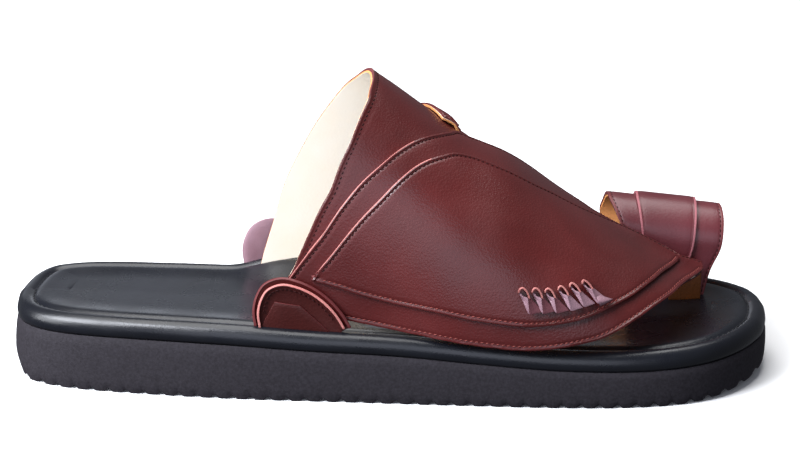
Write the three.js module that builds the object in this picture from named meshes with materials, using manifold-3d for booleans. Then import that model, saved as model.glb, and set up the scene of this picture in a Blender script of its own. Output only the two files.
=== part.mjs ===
// Arabic sandal for the right foot. A foam sole with a ripple tread carries a leather-wrapped footbed. The upper is
// a wide instep band whose outer side runs forward as a leaf to a tab between the toes; a second leaf, two
// half-round slot ears, a braid of lace and a ring for the big toe go with it.
// Millimetres. +X points to the toe, +Y to the inner side of the foot, +Z up; the origin is on the floor under the
// middle of the sole.
import * as THREE from 'three';
import { mergeVertices } from 'three/addons/utils/BufferGeometryUtils.js';
import Module from 'manifold-3d';

const wasm = await Module();
wasm.setup();

// Driving sizes
const soleLength = 290;
const ballWidth = 102;
const heelFoam = 21;            // foam under the heel, at the joint with the footbed
const footbedThickness = 7;
const instepHeight = 89;        // footbed to the top of the throat
const wall = 2.4;               // leather with its lining
const leafStep = 1.4;           // how far the big leaf stands proud of the band
const topLeafThickness = 1.5;
const earThickness = 2.6;
const toeRingHeight = 35;       // footbed to the top of the toe ring
const toeRingWidth = 27;        // across the big toe, outside
const toeRingWall = 2.2;
const toeStrapThickness = 1.1;
const braidThickness = 4.2;
const treadPitch = 6.7;
const treadDepth = 1.4;
const toeSpring = 4;
const heelBevel = 6;
const heelFlare = 2.2;          // the heel is this much wider at the floor than at the joint
const clearance = 0.3;          // between pieces that touch

const half = ballWidth / 2;
const alongToX = (along) => (along - 0.5) * soleLength;

// Sole outline: along is a share of the length from the heel, outer and inner are shares of half the ball width
const outlineRows = [
  { along: 0, outer: 0, inner: 0 },
  { along: 0.005, outer: 0.2, inner: 0.3 },
  { along: 0.02, outer: 0.39, inner: 0.54 },
  { along: 0.05, outer: 0.54, inner: 0.66 },
  { along: 0.1, outer: 0.65, inner: 0.71 },
  { along: 0.2, outer: 0.76, inner: 0.68 },
  { along: 0.31, outer: 0.85, inner: 0.64 },
  { along: 0.45, outer: 0.92, inner: 0.68 },
  { along: 0.6, outer: 0.985, inner: 0.84 },
  { along: 0.74, outer: 1.03, inner: 0.97 },
  { along: 0.83, outer: 1.01, inner: 0.93 },
  { along: 0.9, outer: 0.91, inner: 0.78 },
  { along: 0.95, outer: 0.71, inner: 0.6 },
  { along: 0.985, outer: 0.42, inner: 0.37 },
  { along: 0.997, outer: 0.17, inner: 0.18 },
  { along: 1, outer: 0, inner: 0 },
];
const tipOffset = 0.04 * half;  // the ends of the outline lie this far to the inner side

// Foam thickness at the joint with the footbed, as a share of the heel foam
const foamRows = [
  { along: 0, foam: 1 },
  { along: 0.28, foam: 1 },
  { along: 0.4, foam: 0.93 },
  { along: 0.52, foam: 0.88 },
  { along: 0.62, foam: 0.77 },
  { along: 0.72, foam: 0.68 },
  { along: 0.84, foam: 0.66 },
  { along: 1, foam: 0.76 },
];

// Arch of the upper over the last: ridge is a share of the instep height above the footbed, centre, outer and
// inner are shares of half the ball width
const archRows = [
  { along: 0.22, ridge: 1.62, centre: 0.02, outer: 0.68, inner: 0.5 },
  { along: 0.34, ridge: 1.33, centre: 0, outer: 0.7, inner: 0.56 },
  { along: 0.48, ridge: 0.995, centre: 0, outer: 0.81, inner: 0.64 },
  { along: 0.59, ridge: 0.747, centre: 0.02, outer: 0.98, inner: 0.8 },
  { along: 0.66, ridge: 0.632, centre: 0.06, outer: 1.03, inner: 0.8 },
  { along: 0.74, ridge: 0.455, centre: 0.08, outer: 1.04, inner: 0.78 },
  { along: 0.82, ridge: 0.312, centre: 0.13, outer: 1.01, inner: 0.72 },
  { along: 0.87, ridge: 0.224, centre: 0.16, outer: 0.97, inner: 0.66 },
  { along: 0.915, ridge: 0.155, centre: 0.17, outer: 0.9, inner: 0.58 },
  { along: 0.98, ridge: 0.08, centre: 0.18, outer: 0.72, inner: 0.45 },
];
const archFullness = 2.4;       // exponent of the arch curve: 2 is an ellipse
const archFirst = 0.24;
const archLast = 0.97;

// Smooth value of one column at a share of the length, through the rows of a table
function column(rows, name, along) {
  let i = 0;
  while (i < rows.length - 2 && along > rows[i + 1].along) i += 1;
  const before = rows[Math.max(i - 1, 0)];
  const a = rows[i];
  const b = rows[i + 1];
  const after = rows[Math.min(i + 2, rows.length - 1)];
  const span = b.along - a.along;
  const t = Math.min(Math.max((along - a.along) / span, 0), 1);
  const slopeA = before === a ? (b[name] - a[name]) / span : (b[name] - before[name]) / (b.along - before.along);
  const slopeB = after === b ? (b[name] - a[name]) / span : (after[name] - a[name]) / (after.along - a.along);
  const t2 = t * t;
  const t3 = t2 * t;
  return a[name] * (2 * t3 - 3 * t2 + 1) + slopeA * span * (t3 - 2 * t2 + t)
    + b[name] * (3 * t2 - 2 * t3) + slopeB * span * (t3 - t2);
}

const foamTop = (x) => heelFoam * column(foamRows, 'foam', THREE.MathUtils.clamp(x / soleLength + 0.5, 0, 1));
const footbedTop = (x) => foamTop(x) + clearance + footbedThickness;

// Solids
function toManifold(geometry) {
  const bare = geometry.index ? geometry.toNonIndexed() : geometry.clone();
  bare.deleteAttribute('normal');
  bare.deleteAttribute('uv');
  const merged = mergeVertices(bare, 1e-4);
  return new wasm.Manifold(new wasm.Mesh({
    numProp: 3,
    vertProperties: new Float32Array(merged.attributes.position.array),
    triVerts: new Uint32Array(merged.index.array),
  }));
}

function toGeometry(solid) {
  const mesh = solid.getMesh();
  const geometry = new THREE.BufferGeometry();
  geometry.setAttribute('position', new THREE.BufferAttribute(new Float32Array(mesh.vertProperties), 3));
  geometry.setIndex(new THREE.BufferAttribute(new Uint32Array(mesh.triVerts), 1));
  return geometry;
}

// A closed solid through rings of equally many points, each ring given in the same turning sense
function loft(rings) {
  const count = rings[0].length;
  const positions = [];
  rings.forEach((ring) => ring.forEach((p) => positions.push(p.x, p.y, p.z)));
  const index = [];
  for (let r = 0; r < rings.length - 1; r += 1) {
    for (let i = 0; i < count; i += 1) {
      const j = (i + 1) % count;
      const a = r * count + i;
      const b = r * count + j;
      index.push(a, b, b + count, a, b + count, a + count);
    }
  }
  const capAt = (r, flip) => {
    const ring = rings[r];
    const centre = ring.reduce((sum, p) => sum.add(p), new THREE.Vector3()).divideScalar(count);
    positions.push(centre.x, centre.y, centre.z);
    const c = positions.length / 3 - 1;
    for (let i = 0; i < count; i += 1) {
      const a = r * count + i;
      const b = r * count + ((i + 1) % count);
      if (flip) index.push(c, b, a);
      else index.push(c, a, b);
    }
  };
  capAt(0, true);
  capAt(rings.length - 1, false);
  const geometry = new THREE.BufferGeometry();
  geometry.setAttribute('position', new THREE.Float32BufferAttribute(positions, 3));
  geometry.setIndex(index);
  return toManifold(geometry);
}

// A prism across the foot from a side outline of [x, z] points, between two places across
function sidePrism(points, fromY, toY) {
  const shape = new THREE.Shape(points.map(([x, z]) => new THREE.Vector2(x, z)));
  const geometry = new THREE.ExtrudeGeometry(shape, { depth: toY - fromY, bevelEnabled: false });
  geometry.rotateX(Math.PI / 2);
  geometry.translate(0, toY, 0);
  return toManifold(geometry);
}

// A prism upwards from a plan outline of [x, y] points
function planPrism(points, fromZ, toZ) {
  const shape = new THREE.Shape(points.map(([x, y]) => new THREE.Vector2(x, y)));
  const geometry = new THREE.ExtrudeGeometry(shape, { depth: toZ - fromZ, bevelEnabled: false });
  geometry.translate(0, 0, fromZ);
  return toManifold(geometry);
}

// A smooth line through hand-chosen [x, y] points
function smooth(points, steps) {
  const curve = new THREE.CatmullRomCurve3(points.map(([x, y]) => new THREE.Vector3(x, y, 0)), false, 'centripetal');
  return curve.getPoints(steps).map((p) => [p.x, p.y]);
}

// Sole
const outlineStations = 36;

// The outline as matching outer and inner points from heel to toe, grown outwards by a distance
function outlineSides(grow) {
  const at = (i, side) => {
    const turn = (Math.PI * i) / outlineStations;
    const along = (1 - Math.cos(turn)) / 2;
    const reach = column(outlineRows, side, along) * half * (side === 'outer' ? -1 : 1);
    return new THREE.Vector2(alongToX(along), reach + tipOffset * (1 - Math.sin(turn)));
  };
  const ring = [];
  for (let i = 0; i <= outlineStations; i += 1) ring.push(at(i, 'outer'));
  for (let i = outlineStations - 1; i > 0; i -= 1) ring.push(at(i, 'inner'));
  return ring.map((p, i) => {
    const before = ring[(i + ring.length - 1) % ring.length];
    const after = ring[(i + 1) % ring.length];
    const along = after.clone().sub(before).normalize();
    return new THREE.Vector2(p.x + along.y * grow, p.y - along.x * grow);
  });
}

function makeOutsole() {
  const bottomAt = (x) => {
    const rise = Math.max(x / soleLength + 0.5 - 0.84, 0) / 0.16;
    return toeSpring * rise * rise;
  };
  const heelX = alongToX(0) - heelFlare - 1;
  const toeX = alongToX(1) + 1;
  const profile = [[heelX, foamTop(heelX)], [heelX, heelBevel + 1], [alongToX(0) + heelBevel - 1, 0.6]];
  const ridges = Math.round((soleLength - heelBevel * 2) / treadPitch);
  const pitch = (soleLength - heelBevel * 2) / ridges;
  for (let i = 0; i < ridges; i += 1) {
    const x = alongToX(0) + heelBevel + pitch * i;
    profile.push([x + pitch * 0.28, bottomAt(x)], [x + pitch * 0.68, bottomAt(x + pitch * 0.68)]);
    profile.push([x + pitch * 0.9, bottomAt(x + pitch * 0.9) + treadDepth]);
    profile.push([x + pitch * 1.06, bottomAt(x + pitch * 1.06) + treadDepth]);
  }
  profile.push([toeX - heelBevel, bottomAt(toeX)], [toeX, bottomAt(toeX) + 2]);
  const topSteps = 40;
  for (let i = 0; i <= topSteps; i += 1) {
    const x = toeX + ((heelX - toeX) * i) / topSteps;
    if (i < topSteps) profile.push([x, foamTop(x)]);
  }
  const flare = (z) => {
    const flared = heelFlare * (1 - z / heelFoam);
    const plain = outlineSides(0);
    const wide = outlineSides(flared);
    return plain.map((p, i) => {
      const share = Math.max(1 - (p.x / soleLength + 0.5) / 0.45, 0);
      const q = p.clone().lerp(wide[i], share);
      return new THREE.Vector3(q.x, q.y, z);
    });
  };
  const body = loft([flare(-1), flare(heelFoam * 1.3)]);
  return sidePrism(profile, -ballWidth, ballWidth).intersect(body);
}

// The wrapped board: inset from the outline and height as a share of its thickness, from the joint to the top
const footbedRows = [
  { inset: 1.6, height: 0 },
  { inset: 0.5, height: 0.06 },
  { inset: 0, height: 0.3 },
  { inset: 0.3, height: 0.62 },
  { inset: 1.4, height: 0.86 },
  { inset: 3.4, height: 0.99 },
  { inset: 6, height: 1 },
  { inset: 8, height: 0.95 },
  { inset: 12, height: 0.94 },
  { inset: 20, height: 0.93 },
];

// Rise of the footbed under the arch of the foot, on the inner side
const archRise = 6.5;
function archSupport(x, y) {
  const along = x / soleLength + 0.5;
  const rising = THREE.MathUtils.smoothstep(along, 0.27, 0.37);
  const falling = 1 - THREE.MathUtils.smoothstep(along, 0.42, 0.6);
  return archRise * rising * falling * THREE.MathUtils.smoothstep(y / half, 0.05, 0.6);
}

function makeFootbed(grow) {
  const base = (x) => foamTop(x) + clearance - grow;
  const spine = (ring, i, z) => {
    const outer = ring[i];
    const inner = ring[(ring.length - i) % ring.length];
    const middle = outer.clone().add(inner).multiplyScalar(0.5);
    return new THREE.Vector3(middle.x, middle.y, base(middle.x) + z);
  };
  const rings = footbedRows.map((row) => outlineSides(grow - row.inset).map((p) => new THREE.Vector3(
    p.x, p.y, base(p.x) + row.height * (footbedThickness + 2 * grow + archSupport(p.x, p.y)))));
  const first = outlineSides(grow - footbedRows[0].inset);
  const last = outlineSides(grow - footbedRows[footbedRows.length - 1].inset);
  const count = first.length;
  const positions = [];
  const index = [];
  rings.forEach((ring) => ring.forEach((p) => positions.push(p.x, p.y, p.z)));
  for (let r = 0; r < rings.length - 1; r += 1) {
    for (let i = 0; i < count; i += 1) {
      const a = r * count + i;
      const b = r * count + ((i + 1) % count);
      index.push(a, b, b + count, a, b + count, a + count);
    }
  }
  const cap = (ring, start, z, flip) => {
    const spineStart = positions.length / 3;
    for (let i = 0; i <= outlineStations; i += 1) {
      const p = spine(ring, i, z);
      positions.push(p.x, p.y, p.z);
    }
    for (let i = 0; i < count; i += 1) {
      const j = (i + 1) % count;
      const spineOf = (k) => spineStart + (k <= outlineStations ? k : count - k);
      const quad = [start + i, start + j, spineOf(j), spineOf(i)];
      const order = flip ? [0, 2, 1, 0, 3, 2] : [0, 1, 2, 0, 2, 3];
      order.forEach((k) => index.push(quad[k]));
    }
  };
  cap(first, 0, 0, true);
  const top = footbedRows[footbedRows.length - 1].height * (footbedThickness + 2 * grow);
  cap(last, (rings.length - 1) * count, top, false);
  const geometry = new THREE.BufferGeometry();
  geometry.setAttribute('position', new THREE.Float32BufferAttribute(positions, 3));
  geometry.setIndex(index);
  return toManifold(dropSlivers(geometry));
}

// Leaves out triangles with two corners in one place, which the spine makes at heel and toe
function dropSlivers(geometry) {
  const merged = mergeVertices(geometry, 1e-4);
  const index = merged.index.array;
  const kept = [];
  for (let i = 0; i < index.length; i += 3) {
    const [a, b, c] = [index[i], index[i + 1], index[i + 2]];
    if (a !== b && b !== c && a !== c) kept.push(a, b, c);
  }
  merged.setIndex(kept);
  return merged;
}

// Everything under the top of the footbed, with the footbed's clearance, for what stands on it
function underFootbed() {
  const steps = 40;
  const profile = [];
  for (let i = 0; i <= steps; i += 1) {
    const x = alongToX(i / steps) * 1.01;
    profile.push([x, foamTop(x) + footbedThickness * 0.3]);
  }
  profile.push([alongToX(1) * 1.01, -1], [alongToX(0) * 1.01, -1]);
  const plan = outlineSides(clearance).map((p) => [p.x, p.y]);
  const foam = sidePrism(profile.reverse(), -ballWidth, ballWidth).intersect(planPrism(plan, -1, heelFoam * 2));
  return foam.add(makeFootbed(clearance));
}

// Upper
const archStations = 34;
const archSteps = 28;
const floorUnder = 4;           // the forms reach down to here, inside the sole, and are cut off at the footbed
const sunk = 2;                 // the arch starts this far under the top of the footbed

// A point of the last's arch: along the foot, and turn from the outer base over the ridge to the inner base
function archPoint(along, turn) {
  const x = alongToX(along);
  const centre = column(archRows, 'centre', along) * half;
  const outer = turn < Math.PI / 2;
  const reach = column(archRows, outer ? 'outer' : 'inner', along) * half + (outer ? centre : -centre);
  const power = 2 / archFullness;
  const across = Math.abs(Math.cos(turn)) ** power * (outer ? -1 : 1);
  const height = column(archRows, 'ridge', along) * instepHeight + sunk;
  return new THREE.Vector3(x, centre + reach * across, footbedTop(x) - sunk + height * Math.sin(turn) ** power);
}

// The whole last form, grown outwards by a distance, or by a function of the place on it
function archForm(grow, reachBack = 0) {
  const growAt = typeof grow === 'function' ? grow : () => grow;
  const alongStep = 0.004;
  const turnStep = 0.01;
  const first = archFirst - reachBack;
  const last = archLast + reachBack;
  const rings = [];
  for (let i = 0; i <= archStations; i += 1) {
    const along = first + ((last - first) * i) / archStations;
    const ring = [];
    for (let k = 0; k <= archSteps; k += 1) {
      const turn = (Math.PI * k) / archSteps;
      const ahead = archPoint(along, Math.min(turn + turnStep, Math.PI));
      const around = ahead.sub(archPoint(along, Math.max(turn - turnStep, 0)));
      const forward = archPoint(along + alongStep, turn).sub(archPoint(along - alongStep, turn));
      ring.push(archPoint(along, turn).addScaledVector(forward.cross(around).normalize(), growAt(along, turn)));
    }
    const end = ring[ring.length - 1];
    ring.unshift(new THREE.Vector3(ring[0].x, ring[0].y, floorUnder));
    ring.push(new THREE.Vector3(end.x, end.y, floorUnder));
    rings.push(ring.reverse());
  }
  return loft(rings);
}

// A layer of leather over the last, between two distances out from it
const layer = (inside, outside) => archForm(outside).subtract(archForm(inside, 0.02));

// [x, z] points of a side outline whose rows give along as a share of the length and up as a share of the
// instep height above the footbed
const sidePoints = (rows) => rows.map((row) => {
  const x = alongToX(row.along);
  return [x, footbedTop(x) + row.up * instepHeight];
});

// Edge of the throat, on the outer and the inner side of the foot, from the slot up to the ridge
const throatOuterRows = [
  { along: 0.335, up: -0.08 },
  { along: 0.377, up: 0.222 },
  { along: 0.404, up: 0.42 },
  { along: 0.43, up: 0.589 },
  { along: 0.455, up: 0.775 },
  { along: 0.467, up: 0.867 },
  { along: 0.478, up: 0.95 },
  { along: 0.482, up: 1 },
];
const throatInnerRows = [
  { along: 0.312, up: -0.08 },
  { along: 0.325, up: 0.09 },
  { along: 0.339, up: 0.233 },
  { along: 0.355, up: 0.403 },
  { along: 0.377, up: 0.555 },
  { along: 0.398, up: 0.68 },
  { along: 0.419, up: 0.783 },
  { along: 0.441, up: 0.878 },
  { along: 0.462, up: 0.945 },
  { along: 0.482, up: 1 },
];

// Front edge of the band, from the inner slot to the ridge
const bandFrontRows = [
  { along: 0.45, up: -0.02 },
  { along: 0.46, up: 0.1 },
  { along: 0.49, up: 0.35 },
  { along: 0.54, up: 0.62 },
  { along: 0.62, up: 0.82 },
];

// Rear edge of the big leaf, from the outer ear up to the ridge
const leafRearRows = [
  { along: 0.355, up: 0.1 },
  { along: 0.384, up: 0.251 },
  { along: 0.417, up: 0.397 },
  { along: 0.443, up: 0.519 },
  { along: 0.468, up: 0.623 },
  { along: 0.493, up: 0.696 },
  { along: 0.518, up: 0.755 },
  { along: 0.542, up: 0.787 },
  { along: 0.568, up: 0.789 },
  { along: 0.58, up: 0.779 },
  { along: 0.591, up: 0.764 },
];

// Lower edge of the big leaf, from the ear past the ball to the toes
const leafLowerRows = [
  { along: 0.4, up: 0.075 },
  { along: 0.454, up: 0.057 },
  { along: 0.517, up: 0.03 },
  { along: 0.568, up: 0.02 },
  { along: 0.618, up: 0.015 },
  { along: 0.668, up: 0.011 },
  { along: 0.717, up: 0.032 },
  { along: 0.767, up: 0.072 },
  { along: 0.818, up: 0.151 },
  { along: 0.845, up: 0.182 },
  { along: 0.874, up: 0.194 },
  { along: 0.899, up: 0.182 },
  { along: 0.918, up: 0.164 },
  { along: 0.935, up: 0.15 },
];

// Inner edge of the big leaf in plan, from the ridge to the toe tab, as shares of half the ball width
const leafInnerRows = [
  { along: 0.5, across: -0.06 },
  { along: 0.59, across: -0.06 },
  { along: 0.62, across: 0.06 },
  { along: 0.66, across: 0.17 },
  { along: 0.7, across: 0.27 },
  { along: 0.74, across: 0.26 },
  { along: 0.775, across: 0.15 },
  { along: 0.83, across: 0.13 },
  { along: 0.86, across: 0.16 },
  { along: 0.89, across: 0.22 },
  { along: 0.93, across: 0.23 },
];
const leafTipAlong = 0.918;
const curveSteps = 36;

// Everything to the outer side of an inner edge in plan
function outsideOfInnerEdge(rows) {
  const inner = smooth(rows.map((row) => [alongToX(row.along), row.across * half]), curveSteps);
  const near = [[alongToX(0.3), -ballWidth], [alongToX(1), -ballWidth], [alongToX(1), inner[inner.length - 1][1]]];
  return planPrism([...near, ...inner.reverse(), [alongToX(0.3), inner[0][1]]], 0, instepHeight * 2);
}

function leafRegion() {
  const lower = smooth(sidePoints(leafLowerRows), curveSteps);
  const rear = smooth(sidePoints(leafRearRows), curveSteps);
  const high = footbedTop(0) + instepHeight * 1.5;
  const tipX = alongToX(leafTipAlong);
  const kept = lower.filter(([x]) => x < tipX);
  const tip = [[tipX, kept[kept.length - 1][1]], [tipX, high]];
  const side = [...rear.slice().reverse(), ...kept, ...tip, [rear[rear.length - 1][0], high]];
  return sidePrism(side, -ballWidth, ballWidth).intersect(outsideOfInnerEdge(leafInnerRows));
}

function bandRegion() {
  const front = smooth(sidePoints(bandFrontRows), curveSteps);
  const high = footbedTop(0) + instepHeight * 1.2;
  const side = (rows, fromY, toY) => {
    const rear = smooth(sidePoints(rows), curveSteps);
    const top = [[front[front.length - 1][0], high], [rear[rear.length - 1][0], high]];
    return sidePrism([...rear.slice().reverse(), ...front, ...top], fromY, toY);
  };
  return side(throatOuterRows, -ballWidth, 0.1).add(side(throatInnerRows, 0, ballWidth));
}

// The tab that the leaf's tip is sewn to: it stands in the footbed between the first two toes
const tabAlong = 0.898;
const tabLength = 12;
const tabAcross = 0.19;

function makeTab() {
  const x = alongToX(tabAlong);
  const y = tabAcross * half;
  const rear = x - tabLength / 2;
  const front = x + tabLength / 2;
  const plan = [[rear, y], [front, y], [front, y + wall], [rear, y + wall]];
  return planPrism(plan, floorUnder, footbedTop(x) + instepHeight).intersect(archForm(leafStep - wall / 2));
}

function makeUpper() {
  const band = layer(-wall, 0).intersect(bandRegion());
  const leaf = layer(leafStep - wall, leafStep).intersect(leafRegion());
  return band.add(leaf).add(makeTab()).subtract(underFootbed());
}

// The inner leaf: a broad strip outside the band on the inner side, from the inner slot up to the ridge, where its
// edge stands clear of the band
const innerLeafThickness = 1.8;
const innerLeafLift = 0.6;
const innerLeafRearRows = [
  { along: 0.345, up: -0.02 },
  { along: 0.375, up: 0.2 },
  { along: 0.41, up: 0.4 },
  { along: 0.45, up: 0.58 },
  { along: 0.49, up: 0.71 },
  { along: 0.525, up: 0.78 },
  { along: 0.552, up: 0.815 },
  { along: 0.565, up: 0.85 },
  { along: 0.568, up: 0.98 },
];
const innerLeafFrontRows = [
  { along: 0.455, up: -0.02 },
  { along: 0.465, up: 0.1 },
  { along: 0.49, up: 0.33 },
  { along: 0.53, up: 0.56 },
  { along: 0.575, up: 0.71 },
  { along: 0.592, up: 0.8 },
];

// Its top edge in plan, as shares of half the ball width
const innerLeafEdgeRows = [
  { along: 0.36, across: 0.03 },
  { along: 0.58, across: 0.03 },
  { along: 0.61, across: 0.1 },
  { along: 0.93, across: 0.5 },
];

function makeInnerLeaf() {
  const rear = smooth(sidePoints(innerLeafRearRows), curveSteps);
  const front = smooth(sidePoints(innerLeafFrontRows), curveSteps);
  const high = footbedTop(0) + instepHeight * 1.1;
  const top = [[front[front.length - 1][0], high], [rear[rear.length - 1][0], high]];
  const lift = (along, turn) => {
    const lengthwise = THREE.MathUtils.smoothstep(along, 0.53, 0.575);
    return innerLeafLift * lengthwise * (1 - THREE.MathUtils.smoothstep(turn, Math.PI * 0.5, Math.PI * 0.7));
  };
  const inside = archForm((along, turn) => clearance + lift(along, turn), 0.02);
  const outside = archForm((along, turn) => clearance + innerLeafThickness + lift(along, turn));
  return outside.subtract(inside)
    .intersect(sidePrism([...rear.reverse(), ...front, ...top], -ballWidth, ballWidth))
    .subtract(outsideOfInnerEdge(innerLeafEdgeRows))
    .subtract(underFootbed());
}

// The smaller leaf, sewn on the big one
const topLeafUpperRows = [
  { along: 0.405, up: 0.217 },
  { along: 0.43, up: 0.325 },
  { along: 0.468, up: 0.486 },
  { along: 0.493, up: 0.571 },
  { along: 0.518, up: 0.652 },
  { along: 0.543, up: 0.708 },
  { along: 0.568, up: 0.736 },
  { along: 0.593, up: 0.735 },
  { along: 0.618, up: 0.71 },
  { along: 0.64, up: 0.677 },
  { along: 0.683, up: 0.609 },
  { along: 0.723, up: 0.531 },
  { along: 0.777, up: 0.423 },
];
const topLeafLowerRows = [
  { along: 0.405, up: 0.217 },
  { along: 0.442, up: 0.192 },
  { along: 0.467, up: 0.17 },
  { along: 0.518, up: 0.146 },
  { along: 0.568, up: 0.137 },
  { along: 0.617, up: 0.125 },
  { along: 0.667, up: 0.118 },
  { along: 0.717, up: 0.136 },
  { along: 0.767, up: 0.182 },
  { along: 0.805, up: 0.225 },
  { along: 0.835, up: 0.25 },
  { along: 0.856, up: 0.252 },
  { along: 0.875, up: 0.243 },
  { along: 0.9, up: 0.225 },
];

// Its inner edge in plan, as shares of half the ball width
const topLeafInnerRows = [
  { along: 0.5, across: 0 },
  { along: 0.76, across: 0 },
  { along: 0.79, across: 0.03 },
  { along: 0.83, across: 0.06 },
  { along: 0.87, across: 0.07 },
  { along: 0.93, across: 0.07 },
];
const topLeafFront = 0.884;

function makeTopLeaf() {
  const upper = smooth(sidePoints(topLeafUpperRows), curveSteps);
  const frontX = alongToX(topLeafFront);
  const lower = smooth(sidePoints(topLeafLowerRows), curveSteps).filter(([x]) => x < frontX);
  const high = upper[upper.length - 1][1];
  const front = [[frontX, lower[lower.length - 1][1]], [frontX, high]];
  const side = [...lower, ...front, ...upper.slice(1).reverse()];
  const inside = leafStep + clearance;
  return layer(inside, inside + topLeafThickness)
    .intersect(sidePrism(side, -ballWidth, ballWidth))
    .intersect(outsideOfInnerEdge(topLeafInnerRows));
}

// Slot ears: half-round tabs that stand outside the band, one at each side
const earLength = 36;
const earHeight = 18.5;
const outerEarAlong = 0.328;
const innerEarAlong = 0.286;
const earRows = [
  { share: 0, up: -0.12 },
  { share: 0, up: 0.35 },
  { share: 0.06, up: 0.7 },
  { share: 0.15, up: 0.9 },
  { share: 0.3, up: 1 },
  { share: 0.5, up: 0.93 },
  { share: 0.7, up: 0.74 },
  { share: 0.87, up: 0.42 },
  { share: 1, up: 0 },
  { share: 1, up: -0.12 },
];

function makeEar(along, outer, inside) {
  const start = alongToX(along);
  const base = footbedTop(start);
  const side = earRows.map((row) => [start + row.share * earLength, base + row.up * earHeight]);
  const reach = outer ? [-ballWidth, 0] : [0, ballWidth];
  return layer(inside, inside + earThickness)
    .intersect(sidePrism(side, ...reach))
    .subtract(underFootbed());
}

// Toe ring: a strap over the big toe with both legs in the footbed, and a narrower strap round it
const toeRingAlong = 0.864;
const toeRingGap = 2.97;        // between the tab and the ring's near side
const toeRingMiddle = tabAcross * half + wall + toeRingGap + toeRingWidth / 2;
const toeRingTurn = -5;         // degrees in plan, towards the outer side
const toeRingPitch = 5;         // degrees down towards the toe
const ringNearRows = [
  { share: -0.6, up: -0.05 },
  { share: -0.56, up: 0.3 },
  { share: -0.64, up: 0.62 },
  { share: -0.74, up: 0.85 },
  { share: -0.86, up: 1.02 },
  { share: -0.88, up: 1.1 },
  { share: 0.95, up: 1.1 },
  { share: 0.97, up: 0.85 },
  { share: 0.98, up: 0.62 },
  { share: 0.84, up: 0.3 },
  { share: 0.76, up: -0.05 },
];
const ringFarRows = [
  { share: -0.6, up: -0.05 },
  { share: -0.62, up: 0.3 },
  { share: -0.95, up: 0.62 },
  { share: -0.9, up: 1.02 },
  { share: -0.88, up: 1.1 },
  { share: 0.95, up: 1.1 },
  { share: 1, up: 0.62 },
  { share: 0.4, up: 0.3 },
  { share: 0.05, up: -0.05 },
];
const toeRingLength = 47;

function ringTube(grow, length) {
  const radius = toeRingWidth / 2 + grow;
  const drop = toeRingHeight * 2;
  const straight = toeRingHeight - toeRingWidth / 2;
  const shape = new THREE.Shape();
  shape.moveTo(-radius, straight - drop);
  shape.lineTo(radius, straight - drop);
  shape.lineTo(radius, straight);
  shape.absarc(0, straight, radius, 0, Math.PI, false);
  shape.lineTo(-radius, straight - drop);
  const geometry = new THREE.ExtrudeGeometry(shape, { depth: length, bevelEnabled: false, curveSegments: 20 });
  geometry.translate(0, 0, -length / 2);
  geometry.rotateX(Math.PI / 2);
  geometry.rotateZ(Math.PI / 2);
  return geometry;
}

function placedRing(inside, outside, share) {
  const x = alongToX(toeRingAlong);
  const place = (geometry) => {
    geometry.rotateY(THREE.MathUtils.degToRad(toeRingPitch));
    geometry.rotateZ(THREE.MathUtils.degToRad(toeRingTurn));
    geometry.translate(x, toeRingMiddle, footbedTop(x));
    return toManifold(geometry);
  };
  const length = toeRingLength * share * 1.5;
  const tube = place(ringTube(outside, length)).subtract(place(ringTube(inside, length * 2)));
  const cut = (rows, fromY, toY) => sidePrism(rows.map((row) => [
    x + (row.share * share * toeRingLength) / 2, footbedTop(x) + row.up * toeRingHeight * 1.1]), fromY, toY);
  const middle = toeRingMiddle;
  const kept = cut(ringNearRows, -ballWidth, middle + 0.1).add(cut(ringFarRows, middle, ballWidth));
  return tube.intersect(kept).subtract(underFootbed());
}
const toeStrapShare = 0.53;
const makeToeRing = () => placedRing(-toeRingWall, 0, 1);
const makeToeStrap = () => placedRing(clearance, clearance + toeStrapThickness, toeStrapShare);

// Braid: loops of a flat lace along the lower front of the top leaf, ending in a pointed tail. Each loop's centre lies
// ahead of the first one's and rises by so many millimetres; its foot leans towards the toe.
const braidAlong = 0.676;
const braidUp = 0.232;
const braidLoopWidth = 6;
const braidRows = [
  { ahead: 0, rise: 0, height: 9.8, lean: 0.24 },
  { ahead: 4.8, rise: 0, height: 9.4, lean: 0.26 },
  { ahead: 9.5, rise: 0.1, height: 9, lean: 0.32 },
  { ahead: 14.4, rise: 0.9, height: 8.8, lean: 0.4 },
  { ahead: 18.8, rise: 2, height: 8.4, lean: 0.5 },
  { ahead: 23.5, rise: 3, height: 8, lean: 0.6 },
];
const braidTailRows = [
  { ahead: -2, rise: -3 },
  { ahead: 2.7, rise: -3.8 },
  { ahead: 7.4, rise: -1.5 },
  { ahead: 1.5, rise: 1.2 },
  { ahead: -2, rise: 3 },
];

function makeBraid() {
  const x = alongToX(braidAlong);
  const z = footbedTop(x) + braidUp * instepHeight;
  const loops = braidRows.map((row) => {
    const shape = new THREE.Shape();
    shape.absellipse(0, 0, braidLoopWidth / 2, row.height / 2, 0, Math.PI * 2, false, 0);
    const points = shape.getPoints(10).slice(0, -1);
    return sidePrism(points.map((p) => [x + row.ahead + p.x - p.y * row.lean, z + row.rise + p.y]), -ballWidth, 0);
  });
  const end = braidRows[braidRows.length - 1];
  const tail = braidTailRows.map((row) => [x + end.ahead + row.ahead, z + end.rise + row.rise]);
  const outline = wasm.Manifold.union([...loops, sidePrism(tail, -ballWidth, 0)]);
  const inside = leafStep + topLeafThickness + clearance * 2;
  return layer(inside, inside + braidThickness).intersect(outline);
}

// The sandal
const sandal = new THREE.Group();

function addPiece(name, solid, color, roughness) {
  const material = new THREE.MeshStandardMaterial({ color, roughness, metalness: 0 });
  const mesh = new THREE.Mesh(toGeometry(solid), material);
  mesh.name = name;
  sandal.add(mesh);
}

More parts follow.
